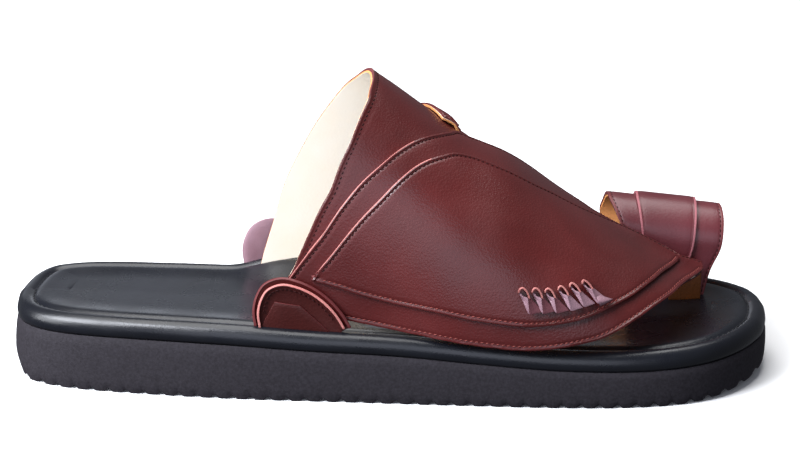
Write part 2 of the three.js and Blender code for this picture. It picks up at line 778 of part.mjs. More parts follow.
const maroon = 0x64323a;
addPiece('outsole', makeOutsole(), 0x2c2b32, 0.75);
addPiece('footbed', makeFootbed(0), 0x24262e, 0.4);
addPiece('upper', makeUpper(), maroon, 0.45);
addPiece('top_leaf', makeTopLeaf(), maroon, 0.45);
addPiece('inner_leaf', makeInnerLeaf(), maroon, 0.45);
addPiece('ear_outer', makeEar(outerEarAlong, true, leafStep + clearance), maroon, 0.45);
addPiece('ear_inner', makeEar(innerEarAlong, false, innerLeafThickness + clearance * 2), maroon, 0.45);
addPiece('toe_ring', makeToeRing(), maroon, 0.45);
addPiece('toe_ring_strap', makeToeStrap(), maroon, 0.45);
addPiece('lace_braid', makeBraid(), maroon, 0.5);

export default sandal;
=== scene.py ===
"""Arabic sandal for the right foot: the leather upper, wrapped footbed and rippled foam sole, with their stitching.

Metres. +X points to the toe, +Y to the inner side of the foot, +Z up, the floor is z = 0.
"""
import math
from bisect import bisect_right
from contextlib import contextmanager

import bpy
from mathutils import Matrix, Vector, kdtree, noise


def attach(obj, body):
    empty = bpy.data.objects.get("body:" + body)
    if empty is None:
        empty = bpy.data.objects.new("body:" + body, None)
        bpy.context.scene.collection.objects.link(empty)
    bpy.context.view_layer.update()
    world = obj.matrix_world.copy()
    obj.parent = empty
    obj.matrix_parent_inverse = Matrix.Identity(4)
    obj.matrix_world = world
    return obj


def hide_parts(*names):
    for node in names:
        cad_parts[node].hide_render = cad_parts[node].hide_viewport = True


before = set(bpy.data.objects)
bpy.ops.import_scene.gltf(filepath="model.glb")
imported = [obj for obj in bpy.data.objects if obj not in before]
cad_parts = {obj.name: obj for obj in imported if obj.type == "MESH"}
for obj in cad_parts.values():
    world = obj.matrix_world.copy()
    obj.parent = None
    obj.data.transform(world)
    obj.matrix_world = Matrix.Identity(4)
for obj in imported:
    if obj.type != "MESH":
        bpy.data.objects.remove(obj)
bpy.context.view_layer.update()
bpy.ops.object.select_all(action="DESELECT")

MM = 0.001
PI = math.pi

# ---------------------------------------------------------------- the last, as the solids have it
LENGTH = 0.290
HALF = 0.051
HEEL_FOAM = 0.021
FOOTBED = 0.007
INSTEP = 0.089
STEP = 1.4 * MM           # how far the big leaf stands proud of the band
TOP_LEAF = 1.5 * MM
INNER_LEAF = 1.8 * MM
GAP = 0.3 * MM            # between pieces that touch
SUNK = 2 * MM             # the arch starts this far under the top of the footbed
FULLNESS = 2.4            # exponent of the arch curve: 2 is an ellipse
TIP_OFFSET = 0.04 * HALF
HEEL_FLARE = 2.2 * MM

# along, outer, inner
OUTLINE = (
    (0, 0, 0), (0.005, 0.2, 0.3), (0.02, 0.39, 0.54), (0.05, 0.54, 0.66), (0.1, 0.65, 0.71), (0.2, 0.76, 0.68),
    (0.31, 0.85, 0.64), (0.45, 0.92, 0.68), (0.6, 0.985, 0.84), (0.74, 1.03, 0.97), (0.83, 1.01, 0.93),
    (0.9, 0.91, 0.78), (0.95, 0.71, 0.6), (0.985, 0.42, 0.37), (0.997, 0.17, 0.18), (1, 0, 0),
)
# along, foam
FOAM = ((0, 1), (0.28, 1), (0.4, 0.93), (0.52, 0.88), (0.62, 0.77), (0.72, 0.68), (0.84, 0.66), (1, 0.76))
# along, ridge, centre, outer, inner
ARCH = (
    (0.22, 1.62, 0.02, 0.68, 0.5), (0.34, 1.33, 0, 0.7, 0.56), (0.48, 0.995, 0, 0.81, 0.64),
    (0.59, 0.747, 0.02, 0.98, 0.8), (0.66, 0.632, 0.06, 1.03, 0.8), (0.74, 0.455, 0.08, 1.04, 0.78),
    (0.82, 0.312, 0.13, 1.01, 0.72), (0.87, 0.224, 0.16, 0.97, 0.66), (0.915, 0.155, 0.17, 0.9, 0.58),
    (0.98, 0.08, 0.18, 0.72, 0.45),
)


def to_x(along):
    return (along - 0.5) * LENGTH


def clamp(value, low, high):
    return max(low, min(high, value))


def smoothstep(value, low, high):
    t = clamp((value - low) / (high - low), 0.0, 1.0)
    return t * t * (3 - 2 * t)


def column(rows, k, along):
    """Smooth value of column k at a share of the length."""
    i = 0
    while i < len(rows) - 2 and along > rows[i + 1][0]:
        i += 1
    a, b = rows[i], rows[i + 1]
    before, after = rows[max(i - 1, 0)], rows[min(i + 2, len(rows) - 1)]
    span = b[0] - a[0]
    t = clamp((along - a[0]) / span, 0.0, 1.0)
    slope_a = (b[k] - a[k]) / span if before is a else (b[k] - before[k]) / (b[0] - before[0])
    slope_b = (b[k] - a[k]) / span if after is b else (after[k] - a[k]) / (after[0] - a[0])
    t2, t3 = t * t, t * t * t
    return (a[k] * (2 * t3 - 3 * t2 + 1) + slope_a * span * (t3 - 2 * t2 + t)
            + b[k] * (3 * t2 - 2 * t3) + slope_b * span * (t3 - t2))


def foam_top(x):
    return HEEL_FOAM * column(FOAM, 1, clamp(x / LENGTH + 0.5, 0, 1))


def footbed_top(x):
    return foam_top(x) + GAP + FOOTBED


def exact_section(along):
    """Centre, outer reach, inner reach, height and base of the last's arch at a share of the length."""
    centre = column(ARCH, 2, along) * HALF
    return (centre, column(ARCH, 3, along) * HALF + centre, column(ARCH, 4, along) * HALF - centre,
            column(ARCH, 1, along) * INSTEP + SUNK, footbed_top(to_x(along)) - SUNK)


SECTIONS = 1600
FIRST_SECTION = 0.2
section_table = [exact_section(FIRST_SECTION + i / SECTIONS) for i in range(SECTIONS)]


def section(along):
    """The same, read from a fine table."""
    place = clamp((along - FIRST_SECTION) * SECTIONS, 0, SECTIONS - 1.001)
    i = int(place)
    t = place - i
    return [a + (b - a) * t for a, b in zip(section_table[i], section_table[i + 1])]


def arch_point(along, turn):
    centre, outer, inner, height, base = section(along)
    power = 2 / FULLNESS
    cosine = math.cos(turn)
    across = outer * -(cosine ** power) if cosine > 0 else inner * (-cosine) ** power
    return Vector((to_x(along), centre + across, base + height * max(math.sin(turn), 0.0) ** power))


def facing(along, turn):
    """Outward direction of the last's surface."""
    around = arch_point(along, min(turn + 0.01, PI)) - arch_point(along, max(turn - 0.01, 0.0))
    forward = arch_point(along + 0.004, turn) - arch_point(along - 0.004, turn)
    return forward.cross(around).normalized()


def on_last(along, turn, out=0.0):
    return arch_point(along, turn) + facing(along, turn) * out


SEARCH_STEPS = 8


def from_side(along, up, out, inner=False):
    """(along, turn) of a place given from the side: up is a share of the instep height above the footbed."""
    goal_x = to_x(along)
    goal_z = footbed_top(goal_x) + up * INSTEP
    a, z = along, goal_z
    turn = 0.0
    for _ in range(SEARCH_STEPS):
        _, _, _, height, base = section(a)
        share = clamp((z - base) / height, 0.0, 1.0)
        turn = math.asin(share ** (FULLNESS / 2))
        if inner:
            turn = PI - turn
        p = on_last(a, turn, out)
        a += (goal_x - p.x) / LENGTH
        z = min(z + goal_z - p.z, base + height * 1.02)
    return a, turn


def from_plan(along, across, out):
    """(along, turn) of a place given from above: across is a share of half the ball width."""
    goal_x, goal_y = to_x(along), across * HALF
    a, y = along, goal_y
    turn = PI / 2
    for _ in range(SEARCH_STEPS):
        centre, outer_reach, inner_reach, _, _ = section(a)
        outer = y < centre
        share = clamp(abs(y - centre) / (outer_reach if outer else inner_reach), 0.0, 1.0)
        turn = math.acos(share ** (FULLNESS / 2))
        if not outer:
            turn = PI - turn
        p = on_last(a, turn, out)
        a += (goal_x - p.x) / LENGTH
        y += goal_y - p.y
    return a, turn


def between(corners, s, t):
    """A point between four corners: the two of one edge, then the two of the other."""
    return corners[0].lerp(corners[1], s).lerp(corners[2].lerp(corners[3], s), t)


def through(points, count):
    """A smooth line through points of the same size, by centripetal spacing."""
    pts = [Vector(p) for p in points]
    ends = [pts[0] * 2 - pts[1]] + pts + [pts[-1] * 2 - pts[-2]]
    line = []
    per = max(count // (len(pts) - 1), 2)
    for i in range(1, len(ends) - 2):
        p0, p1, p2, p3 = ends[i - 1:i + 3]
        k1 = max((p1 - p0).length ** 0.5, 1e-9)
        k2 = k1 + max((p2 - p1).length ** 0.5, 1e-9)
        k3 = k2 + max((p3 - p2).length ** 0.5, 1e-9)
        for n in range(per):
            t = k1 + (k2 - k1) * n / per
            a1 = p0 * ((k1 - t) / k1) + p1 * (t / k1)
            a2 = p1 * ((k2 - t) / (k2 - k1)) + p2 * ((t - k1) / (k2 - k1))
            a3 = p2 * ((k3 - t) / (k3 - k2)) + p3 * ((t - k2) / (k3 - k2))
            b1 = a1 * ((k2 - t) / k2) + a2 * (t / k2)
            b2 = a2 * ((k3 - t) / (k3 - k1)) + a3 * ((t - k1) / (k3 - k1))
            line.append(b1 * ((k2 - t) / (k2 - k1)) + b2 * ((t - k1) / (k2 - k1)))
    line.append(pts[-1])
    return line


def measure(line):
    """The way along a line of points to each of them."""
    reach = [0.0]
    for a, b in zip(line, line[1:]):
        reach.append(reach[-1] + (b - a).length)
    return reach


def locate(reach, goal):
    """Which stretch of growing numbers holds the goal, and the share of the way along it."""
    i = clamp(bisect_right(reach, goal) - 1, 0, len(reach) - 2)
    span = reach[i + 1] - reach[i]
    return i, clamp((goal - reach[i]) / span, 0.0, 1.0) if span else 0.0


class Edge:
    """A line on the last, as places (along, turn), measured by its real length at a height over the last."""

    def __init__(self, places, out=0.0, count=160, smooth=True):
        self.places = through(places, count) if smooth else [Vector(p) for p in places]
        self.out = out
        self.points = [on_last(p[0], p[1], out) for p in self.places]
        self.reach = measure(self.points)
        self.length = self.reach[-1]

    def at(self, share):
        i, t = locate(self.reach, clamp(share, 0.0, 1.0) * self.length)
        return self.places[i].lerp(self.places[i + 1], t)

    def part(self, first, last, count):
        """The stretch between two shares of this line."""
        return Edge([self.at(first + (last - first) * i / count) for i in range(count + 1)], self.out, smooth=False)


def straight(start, end, out, steps=20):
    return Edge([start.lerp(end, i / steps) for i in range(steps + 1)], out, smooth=False)


# ---------------------------------------------------------------- materials
def linear(r, g, b):
    def one(v):
        v /= 255
        return v / 12.92 if v <= 0.04045 else ((v + 0.055) / 1.055) ** 2.4
    return one(r), one(g), one(b), 1.0


class Finish:
    """A material under construction: nodes are added and linked by name of socket."""

    def __init__(self, name, **sockets):
        self.material = bpy.data.materials.new(name)
        self.material.use_nodes = True
        self.tree = self.material.node_tree
        self.shader = self.tree.nodes["Principled BSDF"]
        for key, value in sockets.items():
            self.shader.inputs[key.replace("_", " ")].default_value = value
        self.where = self.tree.nodes.new("ShaderNodeTexCoord").outputs["Object"]

    def add(self, kind, links=None, **settings):
        node = self.tree.nodes.new("ShaderNode" + kind)
        for key, value in settings.items():
            setattr(node, key, value)
        for key, value in (links or {}).items():
            socket = node.inputs[key]
            if isinstance(value, bpy.types.NodeSocket):
                self.tree.links.new(value, socket)
            else:
                socket.default_value = value
        return node

    def link(self, output, name):
        self.tree.links.new(output, self.shader.inputs[name])

    def noise(self, scale, detail=3.0, rough=0.5):
        return self.add("TexNoise", {"Vector": self.where, "Scale": scale, "Detail": detail, "Roughness": rough})

    def pebbles(self, scale, smooth=0.6):
        return self.add("TexVoronoi", {"Vector": self.where, "Scale": scale, "Smoothness": smooth},
                        feature="SMOOTH_F1")

    def ramp(self, value, *stops):
        node = self.add("ValToRGB", {"Fac": value})
        elements = node.color_ramp.elements
        while len(elements) < len(stops):
            elements.new(0.5)
        for element, (place, colour) in zip(elements, stops):
            element.position = place
            element.color = colour
        return node.outputs["Color"]

    def spread(self, value, low, high, new_low, new_high):
        node = self.add("MapRange", {"Value": value, "From Min": low, "From Max": high, "To Min": new_low,
                                     "To Max": new_high})
        return node.outputs["Result"]

    def bump(self, height, distance, strength=1.0, below=None):
        links = {"Height": height, "Distance": distance, "Strength": strength}
        if below is not None:
            links["Normal"] = below
        return self.add("Bump", links).outputs["Normal"]


def leather(name, dark, light, rough_low, rough_high, grain=0.00012, specular=0.32, cell=950.0):
    """Fine calf: pebbled grain under a satin finish, with slow changes of tone."""
    finish = Finish(name, Specular_IOR_Level=specular)
    tone = finish.noise(28.0, 4.0, 0.55).outputs["Fac"]
    finish.link(finish.ramp(tone, (0.3, dark), (0.72, light)), "Base Color")
    pores = finish.pebbles(cell).outputs["Distance"]
    fine = finish.noise(2600.0, 2.0).outputs["Fac"]
    slow = finish.noise(60.0, 3.0).outputs["Fac"]
    finish.link(finish.spread(slow, 0.35, 0.7, rough_low, rough_high), "Roughness")
    first = finish.bump(pores, grain, 0.9)
    finish.link(finish.bump(fine, grain * 0.5, 0.6, first), "Normal")
    return finish.material


MAROON = leather("maroon_calf", linear(68, 19, 18), linear(86, 27, 26), 0.31, 0.41, 0.00007, 0.5, 1300.0)
# the toe ring's maroon calf made lighter and more lilac: painted sheen where the ring catches the light
RING_SHEEN = leather("ring_calf_painted_sheen", linear(76, 28, 33), linear(95, 39, 45), 0.33, 0.43, 0.00004, 0.5, 1300.0)
# a darker copy of the maroon calf: painted shade, for backs, folds and hollows that lie in shadow
SHADED_MAROON = leather("maroon_painted_shade", linear(52, 16, 14), linear(68, 23, 20), 0.42, 0.55, 0.00009, 0.28, 1300.0)
RAW = leather("raw_edge", linear(168, 96, 92), linear(204, 136, 128), 0.5, 0.65, 0.00006)
ROLLED = leather("rolled_edge", linear(86, 34, 35), linear(108, 50, 51), 0.4, 0.5, 0.00005, 0.3)
LINING = leather("cream_lining", linear(255, 240, 216), linear(255, 249, 236), 0.5, 0.62, 0.00003)
APRICOT = leather("lining_edge", linear(206, 132, 74), linear(234, 168, 108), 0.5, 0.62, 0.00006)
TAN = leather("tan_tab", linear(92, 48, 18), linear(120, 68, 28), 0.45, 0.6, 0.0001)
GLOSS = leather("footbed_leather", linear(13, 14, 19), linear(19, 21, 28), 0.24, 0.35, 0.00003, 0.5, 1500.0)
# the maroon lace made light mauve: painted sheen of the braid's facets and tail, also on the inner ear's foot side
LACE_SHEEN = leather("lace_painted_sheen", linear(110, 74, 81), linear(160, 128, 139), 0.32, 0.44, 0.00006, 0.5, 1300.0)
STRAP_EDGE = leather("strap_edge", linear(132, 70, 76), linear(166, 104, 110), 0.5, 0.65, 0.00005, 0.3)
# a darker copy of the lace: painted shade on the far half of the first loops' facets
LACE_SHADE = leather("shaded_lace", linear(94, 50, 55), linear(122, 74, 82), 0.36, 0.48, 0.00006, 0.4, 1300.0)
THREAD = leather("thread", linear(36, 10, 10), linear(54, 18, 18), 0.65, 0.75, 0.00005, 0.15)
LIGHT_THREAD = leather("light_thread", linear(104, 48, 44), linear(128, 68, 62), 0.65, 0.75, 0.00005, 0.15)
DARK_THREAD = leather("dark_thread", linear(12, 13, 16), linear(22, 23, 27), 0.5, 0.6, 0.00005)


def foam_finish():
    finish = Finish("foam", Specular_IOR_Level=0.16)
    tone = finish.noise(900.0, 4.0, 0.6).outputs["Fac"]
    finish.link(finish.ramp(tone, (0.35, linear(40, 37, 41)), (0.65, linear(50, 47, 52))), "Base Color")
    cells = finish.pebbles(1400.0, 0.3).outputs["Distance"]
    skin = finish.noise(2400.0, 3.0).outputs["Fac"]
    finish.link(finish.spread(skin, 0.3, 0.7, 0.6, 0.74), "Roughness")
    first = finish.bump(cells, 0.00008, 0.7)
    finish.link(finish.bump(skin, 0.00005, 0.7, first), "Normal")
    return finish.material


FOAM_SKIN = foam_finish()

# ---------------------------------------------------------------- making pieces


def keep(obj, node=None):
    """Rides on the sandal, and stands for a CAD node if one is given."""
    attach(obj, "root")
    if node:
        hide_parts(node)


def grid(name, columns, rows, place, accent=None):
    """A primitive grid whose point (i, j) is moved to place(i, j). The cells for which accent(i, j) is true take
    the fourth material."""
    bpy.ops.mesh.primitive_grid_add(x_subdivisions=columns, y_subdivisions=rows, size=2)
    obj = bpy.context.object
    obj.name = name
    if accent:
        for polygon in obj.data.polygons:
            if accent(int((polygon.center.x + 1) / 2 * columns), int((polygon.center.y + 1) / 2 * rows)):
                polygon.material_index = 3
    for v in obj.data.vertices:
        v.co = place(round((v.co.x + 1) / 2 * columns), round((v.co.y + 1) / 2 * rows))
    return obj


@contextmanager
def editing(obj):
    """Edit mode with the whole mesh selected."""
    bpy.context.view_layer.objects.active = obj
    obj.select_set(True)
    bpy.ops.object.mode_set(mode="EDIT")
    bpy.ops.mesh.select_all(action="SELECT")
    yield
    bpy.ops.object.mode_set(mode="OBJECT")
    obj.select_set(False)


def close_up(obj, distance):
    """Closes seams and poles, fills what is still open with one face and turns all faces outwards."""
    with editing(obj):
        bpy.ops.mesh.remove_doubles(threshold=distance)
        bpy.ops.mesh.dissolve_degenerate(threshold=0.000002)
        bpy.ops.mesh.select_all(action="DESELECT")
        bpy.ops.mesh.select_non_manifold(extend=False)
        bpy.ops.mesh.edge_face_add()
        bpy.ops.mesh.select_all(action="SELECT")
        bpy.ops.mesh.normals_make_consistent(inside=False)


def face_out(obj, outward):
    """Turns an open sheet over if its middle face looks against the outward direction."""
    middle = obj.data.polygons[len(obj.data.polygons) // 2]
    if middle.normal.dot(outward(middle.center)) < 0:
        with editing(obj):
            bpy.ops.mesh.flip_normals()


def modify(obj, kind, **settings):
    bpy.context.view_layer.objects.active = obj
    modifier = obj.modifiers.new(kind.lower(), kind)
    for key, value in settings.items():
        setattr(modifier, key, value)
    bpy.ops.object.modifier_apply(modifier=modifier.name)


def soft_shade(obj, angle=35):
    bpy.context.view_layer.objects.active = obj
    obj.select_set(True)
    bpy.ops.object.shade_smooth_by_angle(angle=math.radians(angle))
    obj.select_set(False)


def thicken(obj, thickness, face, back, rim, accent=None, bevel=0.25 * MM):
    """Gives a sheet its thickness inwards, with a finish for its face, its back, its cut edge and its accent."""
    for material in (face, back, rim, accent or rim):
        obj.data.materials.append(material)
    modify(obj, "SOLIDIFY", thickness=thickness, offset=-1, use_even_offset=False, use_rim=True,
           material_offset=1, material_offset_rim=2)
    modify(obj, "BEVEL", width=bevel, segments=2, limit_method="ANGLE", angle_limit=math.radians(50))
    soft_shade(obj)


def ticks(length, near=(), far=(), cell=2.4 * MM):
    """Shares of a length: at the given distances in millimetres from each end, and about a cell apart between."""
    low = [d * MM for d in near] or [0.0]
    high = [length - d * MM for d in reversed(far)] or [length]
    count = max(int(round((high[0] - low[-1]) / cell)), 1)
    inside = [low[-1] + (high[0] - low[-1]) * i / count for i in range(1, count)]
    return [v / length for v in low + inside + high]


EDGE_TICKS = (0, 0.35, 0.8, 1.3, 1.8, 2.4, 3.2)    # beside a sewn edge
PLAIN_TICKS = (0, 1.2)


def near_line(points):
    """Distance of any point to a line's points."""
    tree = kdtree.KDTree(len(points))
    for i, p in enumerate(points):
        tree.insert(p, i)
    tree.balance()
    return lambda p: tree.find(p)[2]


class Panel:
    """A four-sided piece of leather on the last, between a rear, front, lower and upper edge."""

    def __init__(self, rear, front, lower, upper, out):
        self.rear, self.front, self.lower, self.upper, self.out = rear, front, lower, upper, out

    def at(self, s, t):
        low, high = self.lower.at(s), self.upper.at(s)
        back, fore = self.rear.at(t), self.front.at(t)
        corners = (self.rear.at(0) * (1 - s) * (1 - t) + self.rear.at(1) * (1 - s) * t
                   + self.front.at(0) * s * (1 - t) + self.front.at(1) * s * t)
        return low * (1 - t) + high * t + back * (1 - s) + fore * s - corners

    def build(self, name, s_ticks, t_ticks, relief, accent=None):
        """relief(point, s, t) is the extra height over the last at a point. t_ticks are shares, or a function that
        gives the shares for a column's real height."""
        if callable(t_ticks):
            ends = [(on_last(*self.at(s, 0), self.out), on_last(*self.at(s, 1), self.out)) for s in s_ticks]
            shares = [t_ticks((low - high).length) for low, high in ends]
        else:
            shares = [t_ticks] * len(s_ticks)

        def place(i, j):
            along, turn = self.at(s_ticks[i], shares[i][j])
            base = on_last(along, turn, self.out)
            return base + facing(along, turn) * relief(base, s_ticks[i], shares[i][j])

        obj = grid(name, len(s_ticks) - 1, len(shares[0]) - 1, place, accent)
        face_out(obj, lambda _: facing(*self.at(0.5, 0.5)))
        return obj

    def middle(self):
        return on_last(*self.at(0.5, 0.5), self.out)


def height_ticks(inner_cells):
    """Shares of any height: the edge distances at both ends, drawn together where it is short."""
    def at(height):
        least = 2.6 * EDGE_TICKS[-1] * MM
        room = min(1.0, height / least)
        low = [d * MM * room for d in EDGE_TICKS]
        high = [height - d for d in reversed(low)]
        inside = [low[-1] + (high[0] - low[-1]) * i / inner_cells for i in range(1, inner_cells)]
        return [v / height for v in low + inside + high]
    return at


def leaf_panel(side_rows, plan_rows, lower, out):
    """A leaf between its lower edge and one smooth edge that runs up its rear and on along its inner side."""
    edge = Edge(places(side_rows, plan_rows, out), out, 320)
    upper = edge.part(1 * MM / edge.length, 1, 240)
    rear, front = straight(lower.at(0), upper.at(0), out), straight(lower.at(1), upper.at(1), out)
    return Panel(rear, front, lower, upper, out)


def raw_rear(s, t):
    """The cells along the rear part of a leaf's upper edge, where the raw edge shows."""
    columns, rows = len(s) - 1, len(t(1.0)) - 1
    first, last = 6, 0.37 * columns
    return lambda i, j: j == rows - 1 and first <= i < last


def slack(p):
    """Leather is never quite flat: slow swells and finer creases."""
    slow = noise.noise(Vector((p.x * 38, p.y * 38, p.z * 26)))
    fine = noise.noise(Vector((p.x * 120 + 7, p.y * 120, p.z * 70)))
    return (0.22 * slow + 0.07 * fine) * MM


EDGE_DROP = 0.2    # a cut edge is thinned by this much
EDGE_ROLL = 0.12   # and rolled up beside it by this much


def seam_relief(lines, inset=1.5, depth=0.3, soft=0.45):
    """Leather drawn down along a stitch line, and thinned and rolled at its edge, for edges given as lines of
    points. In millimetres."""
    finders = [near_line(points) for points in lines]

    def relief(p, *_):
        total = 0.0
        near = 100.0
        for find in finders:
            d = find(p) / MM
            near = min(near, d)
            total -= depth * math.exp(-(((d - inset) / soft) ** 2)) + EDGE_DROP * math.exp(-((d / 0.35) ** 2))
            total += EDGE_ROLL * math.exp(-(((d - 0.75) / 0.3) ** 2))
        return total * MM + slack(p) * smoothstep(near, 1.0, 12.0)
    return relief


def one_stitch(length, radius):
    """A single stitch of thread along X, its ends dipping into the leather."""
    bpy.ops.mesh.primitive_uv_sphere_add(segments=7, ring_count=6, radius=1)
    obj = bpy.context.object
    for v in obj.data.vertices:
        x = v.co.x
        bend = -0.55 * x * x
        fat = 1 - 0.25 * x * x
        v.co = Vector((x * length / 2, v.co.y * radius * fat, (v.co.z * fat + bend) * radius))
    return obj


def join(name, pieces):
    """Makes one object of several."""
    bpy.ops.object.select_all(action="DESELECT")
    for piece in pieces:
        piece.select_set(True)
    bpy.context.view_layer.objects.active = pieces[0]
    bpy.ops.object.join()
    whole = bpy.context.object
    whole.name = name
    whole.select_set(False)
    return whole


STITCH_PITCH = 1.95 * MM
STITCH_SHARE = 0.8      # of the pitch, the rest is the gap between two stitches
STITCH_SUNK = 0.2 * MM  # the row lies this far under the leather's face, in its groove


def stitch_row(name, stitches, material, radius, slant, pitch=STITCH_PITCH):
    """A row of stitches as one piece. Each is given as its spot, the row's direction, the side that it slants to and
    the way out of the leather."""
    seed = one_stitch(pitch * STITCH_SHARE, radius)
    turn = math.radians(slant)
    pieces = []
    for spot, forward, sideways, up in stitches:
        along = (forward * math.cos(turn) + sideways * math.sin(turn)).normalized()
        matrix = Matrix((along, up.cross(along).normalized(), up)).transposed().to_4x4()
        matrix.translation = spot
        copy = seed.copy()
        copy.data = seed.data.copy()
        copy.data.transform(matrix)
        bpy.context.collection.objects.link(copy)
        pieces.append(copy)
    bpy.data.objects.remove(seed)
    row = join(name, pieces)
    row.data.materials.append(material)
    for polygon in row.data.polygons:
        polygon.use_smooth = True
    keep(row)


def sew(name, edge, inward, inset, material, out, radius=0.3 * MM, first=0.0, last=1.0):
    """Stitches at an inset in millimetres from an edge, on the surface at a height over the last. first and last are
    shares of the edge."""
    start, stop = first * edge.length + STITCH_PITCH * 0.7, last * edge.length - STITCH_PITCH * 0.7
    count = max(int((stop - start) / STITCH_PITCH), 1)
    stitches = []
    for i in range(count + 1):
        share = (start + (stop - start) * i / count) / edge.length
        place = edge.at(share)
        here, up = on_last(*place, out), facing(*place)
        forward = (on_last(*edge.at(share + 0.002), out) - on_last(*edge.at(share - 0.002), out)).normalized()
        sideways = up.cross(forward).normalized()
        if sideways.dot(inward - here) < 0:
            sideways = -sideways
        stitches.append((here + sideways * inset * MM, forward, sideways, up))
    stitch_row(name, stitches, material, radius, 12)


def sew_line(name, line, ups, material, pitch=STITCH_PITCH, radius=0.26 * MM, slant=10):
    """Stitches along any line of points, with the outward direction at each."""
    reach = measure(line)
    count = int(reach[-1] / pitch)
    stitches = []
    for n in range(count):
        k, t = locate(reach, (n + 0.5) * reach[-1] / count)
        forward = (line[k + 1] - line[k]).normalized()
        up = ups[k + 1]
        stitches.append((line[k].lerp(line[k + 1], t), forward, up.cross(forward).normalized(), up))
    stitch_row(name, stitches, material, radius, slant, pitch)


# ---------------------------------------------------------------- sole
def outline(grow, stations):
    """The sole's outline, outer side from heel to toe and back on the inner side, grown outwards."""
    def at(i, k):
        turn = PI * i / stations
        along = (1 - math.cos(turn)) / 2
        reach = column(OUTLINE, k, along) * HALF * (-1 if k == 1 else 1)
        return Vector((to_x(along), reach + TIP_OFFSET * (1 - math.sin(turn))))
    ring = [at(i, 1) for i in range(stations + 1)] + [at(i, 2) for i in range(stations - 1, 0, -1)]
    grown = []
    for i, p in enumerate(ring):
        along = (ring[(i + 1) % len(ring)] - ring[i - 1]).normalized()
        grown.append(Vector((p.x + along.y * grow, p.y - along.x * grow)))
    return grown


def outline_sides():
    """The outline's outer and inner side, each from heel to toe as its X and its Y values."""
    ring = outline(0.0, 400)
    half_count = len(ring) // 2
    sides = (ring[:half_count + 1], list(reversed(ring[half_count:] + ring[:1])))
    return [([p.x for p in side], [p.y for p in side]) for side in sides]


SOLE_SIDES = outline_sides()


def sole_middle(x):
    """Y halfway between the outline's sides at x."""
    total = 0.0
    for xs, ys in SOLE_SIDES:
        i, t = locate(xs, x)
        total += ys[i] + (ys[i + 1] - ys[i]) * t
    return total / 2


TREAD_RIBS = 41
TREAD_MARGIN = 6 * MM
TREAD_PITCH = (LENGTH - 2 * TREAD_MARGIN) / TREAD_RIBS
TREAD_DEPTH = 1.4 * MM
TREAD_FLANK = (0.42, 0.95)    # a rib's side, as shares of half the pitch
HEEL_BEVEL = 5.5 * MM
HEEL_BEVEL_SLOPE = 1.1
TOE_SPRING = 4 * MM
TOE_SPRING_FROM = 0.84


def tread_height(x):
    """Height of the underside: flat-topped ribs, a straight bevel at the heel and a lift at the toe."""
    rise = max(x / LENGTH + 0.5 - TOE_SPRING_FROM, 0) / (1 - TOE_SPRING_FROM)
    place = (x - to_x(0) - TREAD_MARGIN) / TREAD_PITCH - 0.48
    share = abs((place + 0.5) % 1.0 - 0.5) * 2
    ribs = TOE_SPRING * rise * rise + TREAD_DEPTH * smoothstep(share, *TREAD_FLANK)
    return max(ribs, (to_x(0) + HEEL_BEVEL - x) * HEEL_BEVEL_SLOPE)


def make_foam_sole():
    """Rings down the outline's wall, then inwards over the tread."""
    stations = 420
    ring = outline(0.0, stations)
    wide = outline(1 * MM, stations)
    count = len(ring)
    wall_rows, floor_rows = 10, 6
    flare_ends = 0.45
    edge_tuck, swell = 0.5 * MM, 0.3 * MM

    def place(i, j):
        p, q = ring[i % count], wide[i % count]
        push = (q - p) * 1000    # outwards: the outlines are 1 mm apart
        share = max(1 - (p.x / LENGTH + 0.5) / flare_ends, 0)
        t = min(j / wall_rows, 1.0)
        top = foam_top(p.x)
        edge = p.x + push.x * HEEL_FLARE * share
        z = top + (tread_height(edge) - top) * t
        flare = HEEL_FLARE * share * (1 - z / HEEL_FOAM)
        tuck = -edge_tuck * (math.exp(-((t / 0.06) ** 2)) + math.exp(-(((1 - t) / 0.05) ** 2)))
        off = push * (flare + tuck + swell * math.sin(PI * t))
        if j > wall_rows:
            inwards = (j - wall_rows) / floor_rows
            off = off * (1 - inwards) + Vector((0, (sole_middle(p.x) - p.y) * inwards))
            z = tread_height(p.x + off.x)
        return Vector((p.x + off.x, p.y + off.y, z))

    obj = grid("foam_sole", count, wall_rows + floor_rows, place)
    close_up(obj, 0.00001)
    obj.data.materials.append(FOAM_SKIN)
    soft_shade(obj, 40)
    keep(obj, "outsole")


# inset in millimetres, height as a share of the board
FOOTBED_SECTION = (
    (2.4, 0.02), (1.2, 0.0), (0.5, 0.05), (0.12, 0.16), (0, 0.3), (0.1, 0.46), (0.45, 0.62), (1.1, 0.78), (2.0, 0.9),
    (3.0, 0.97), (3.9, 0.99), (4.7, 0.98), (5.4, 0.95), (6.0, 0.895), (6.4, 0.85), (6.7, 0.835), (7.0, 0.85),
    (7.5, 0.9), (8.2, 0.955), (9.2, 0.985), (10.4, 0.98), (12.5, 0.945), (15, 0.905), (18, 0.88), (20, 0.87),
)
GROOVE_INSET = 6.7 * MM
GROOVE_SHARE = 0.84
ARCH_SUPPORT = 6.5 * MM


def arch_support(x, y):
    along = x / LENGTH + 0.5
    rising = smoothstep(along, 0.27, 0.37)
    falling = 1 - smoothstep(along, 0.42, 0.6)
    return ARCH_SUPPORT * rising * falling * smoothstep(y / HALF, 0.05, 0.6)


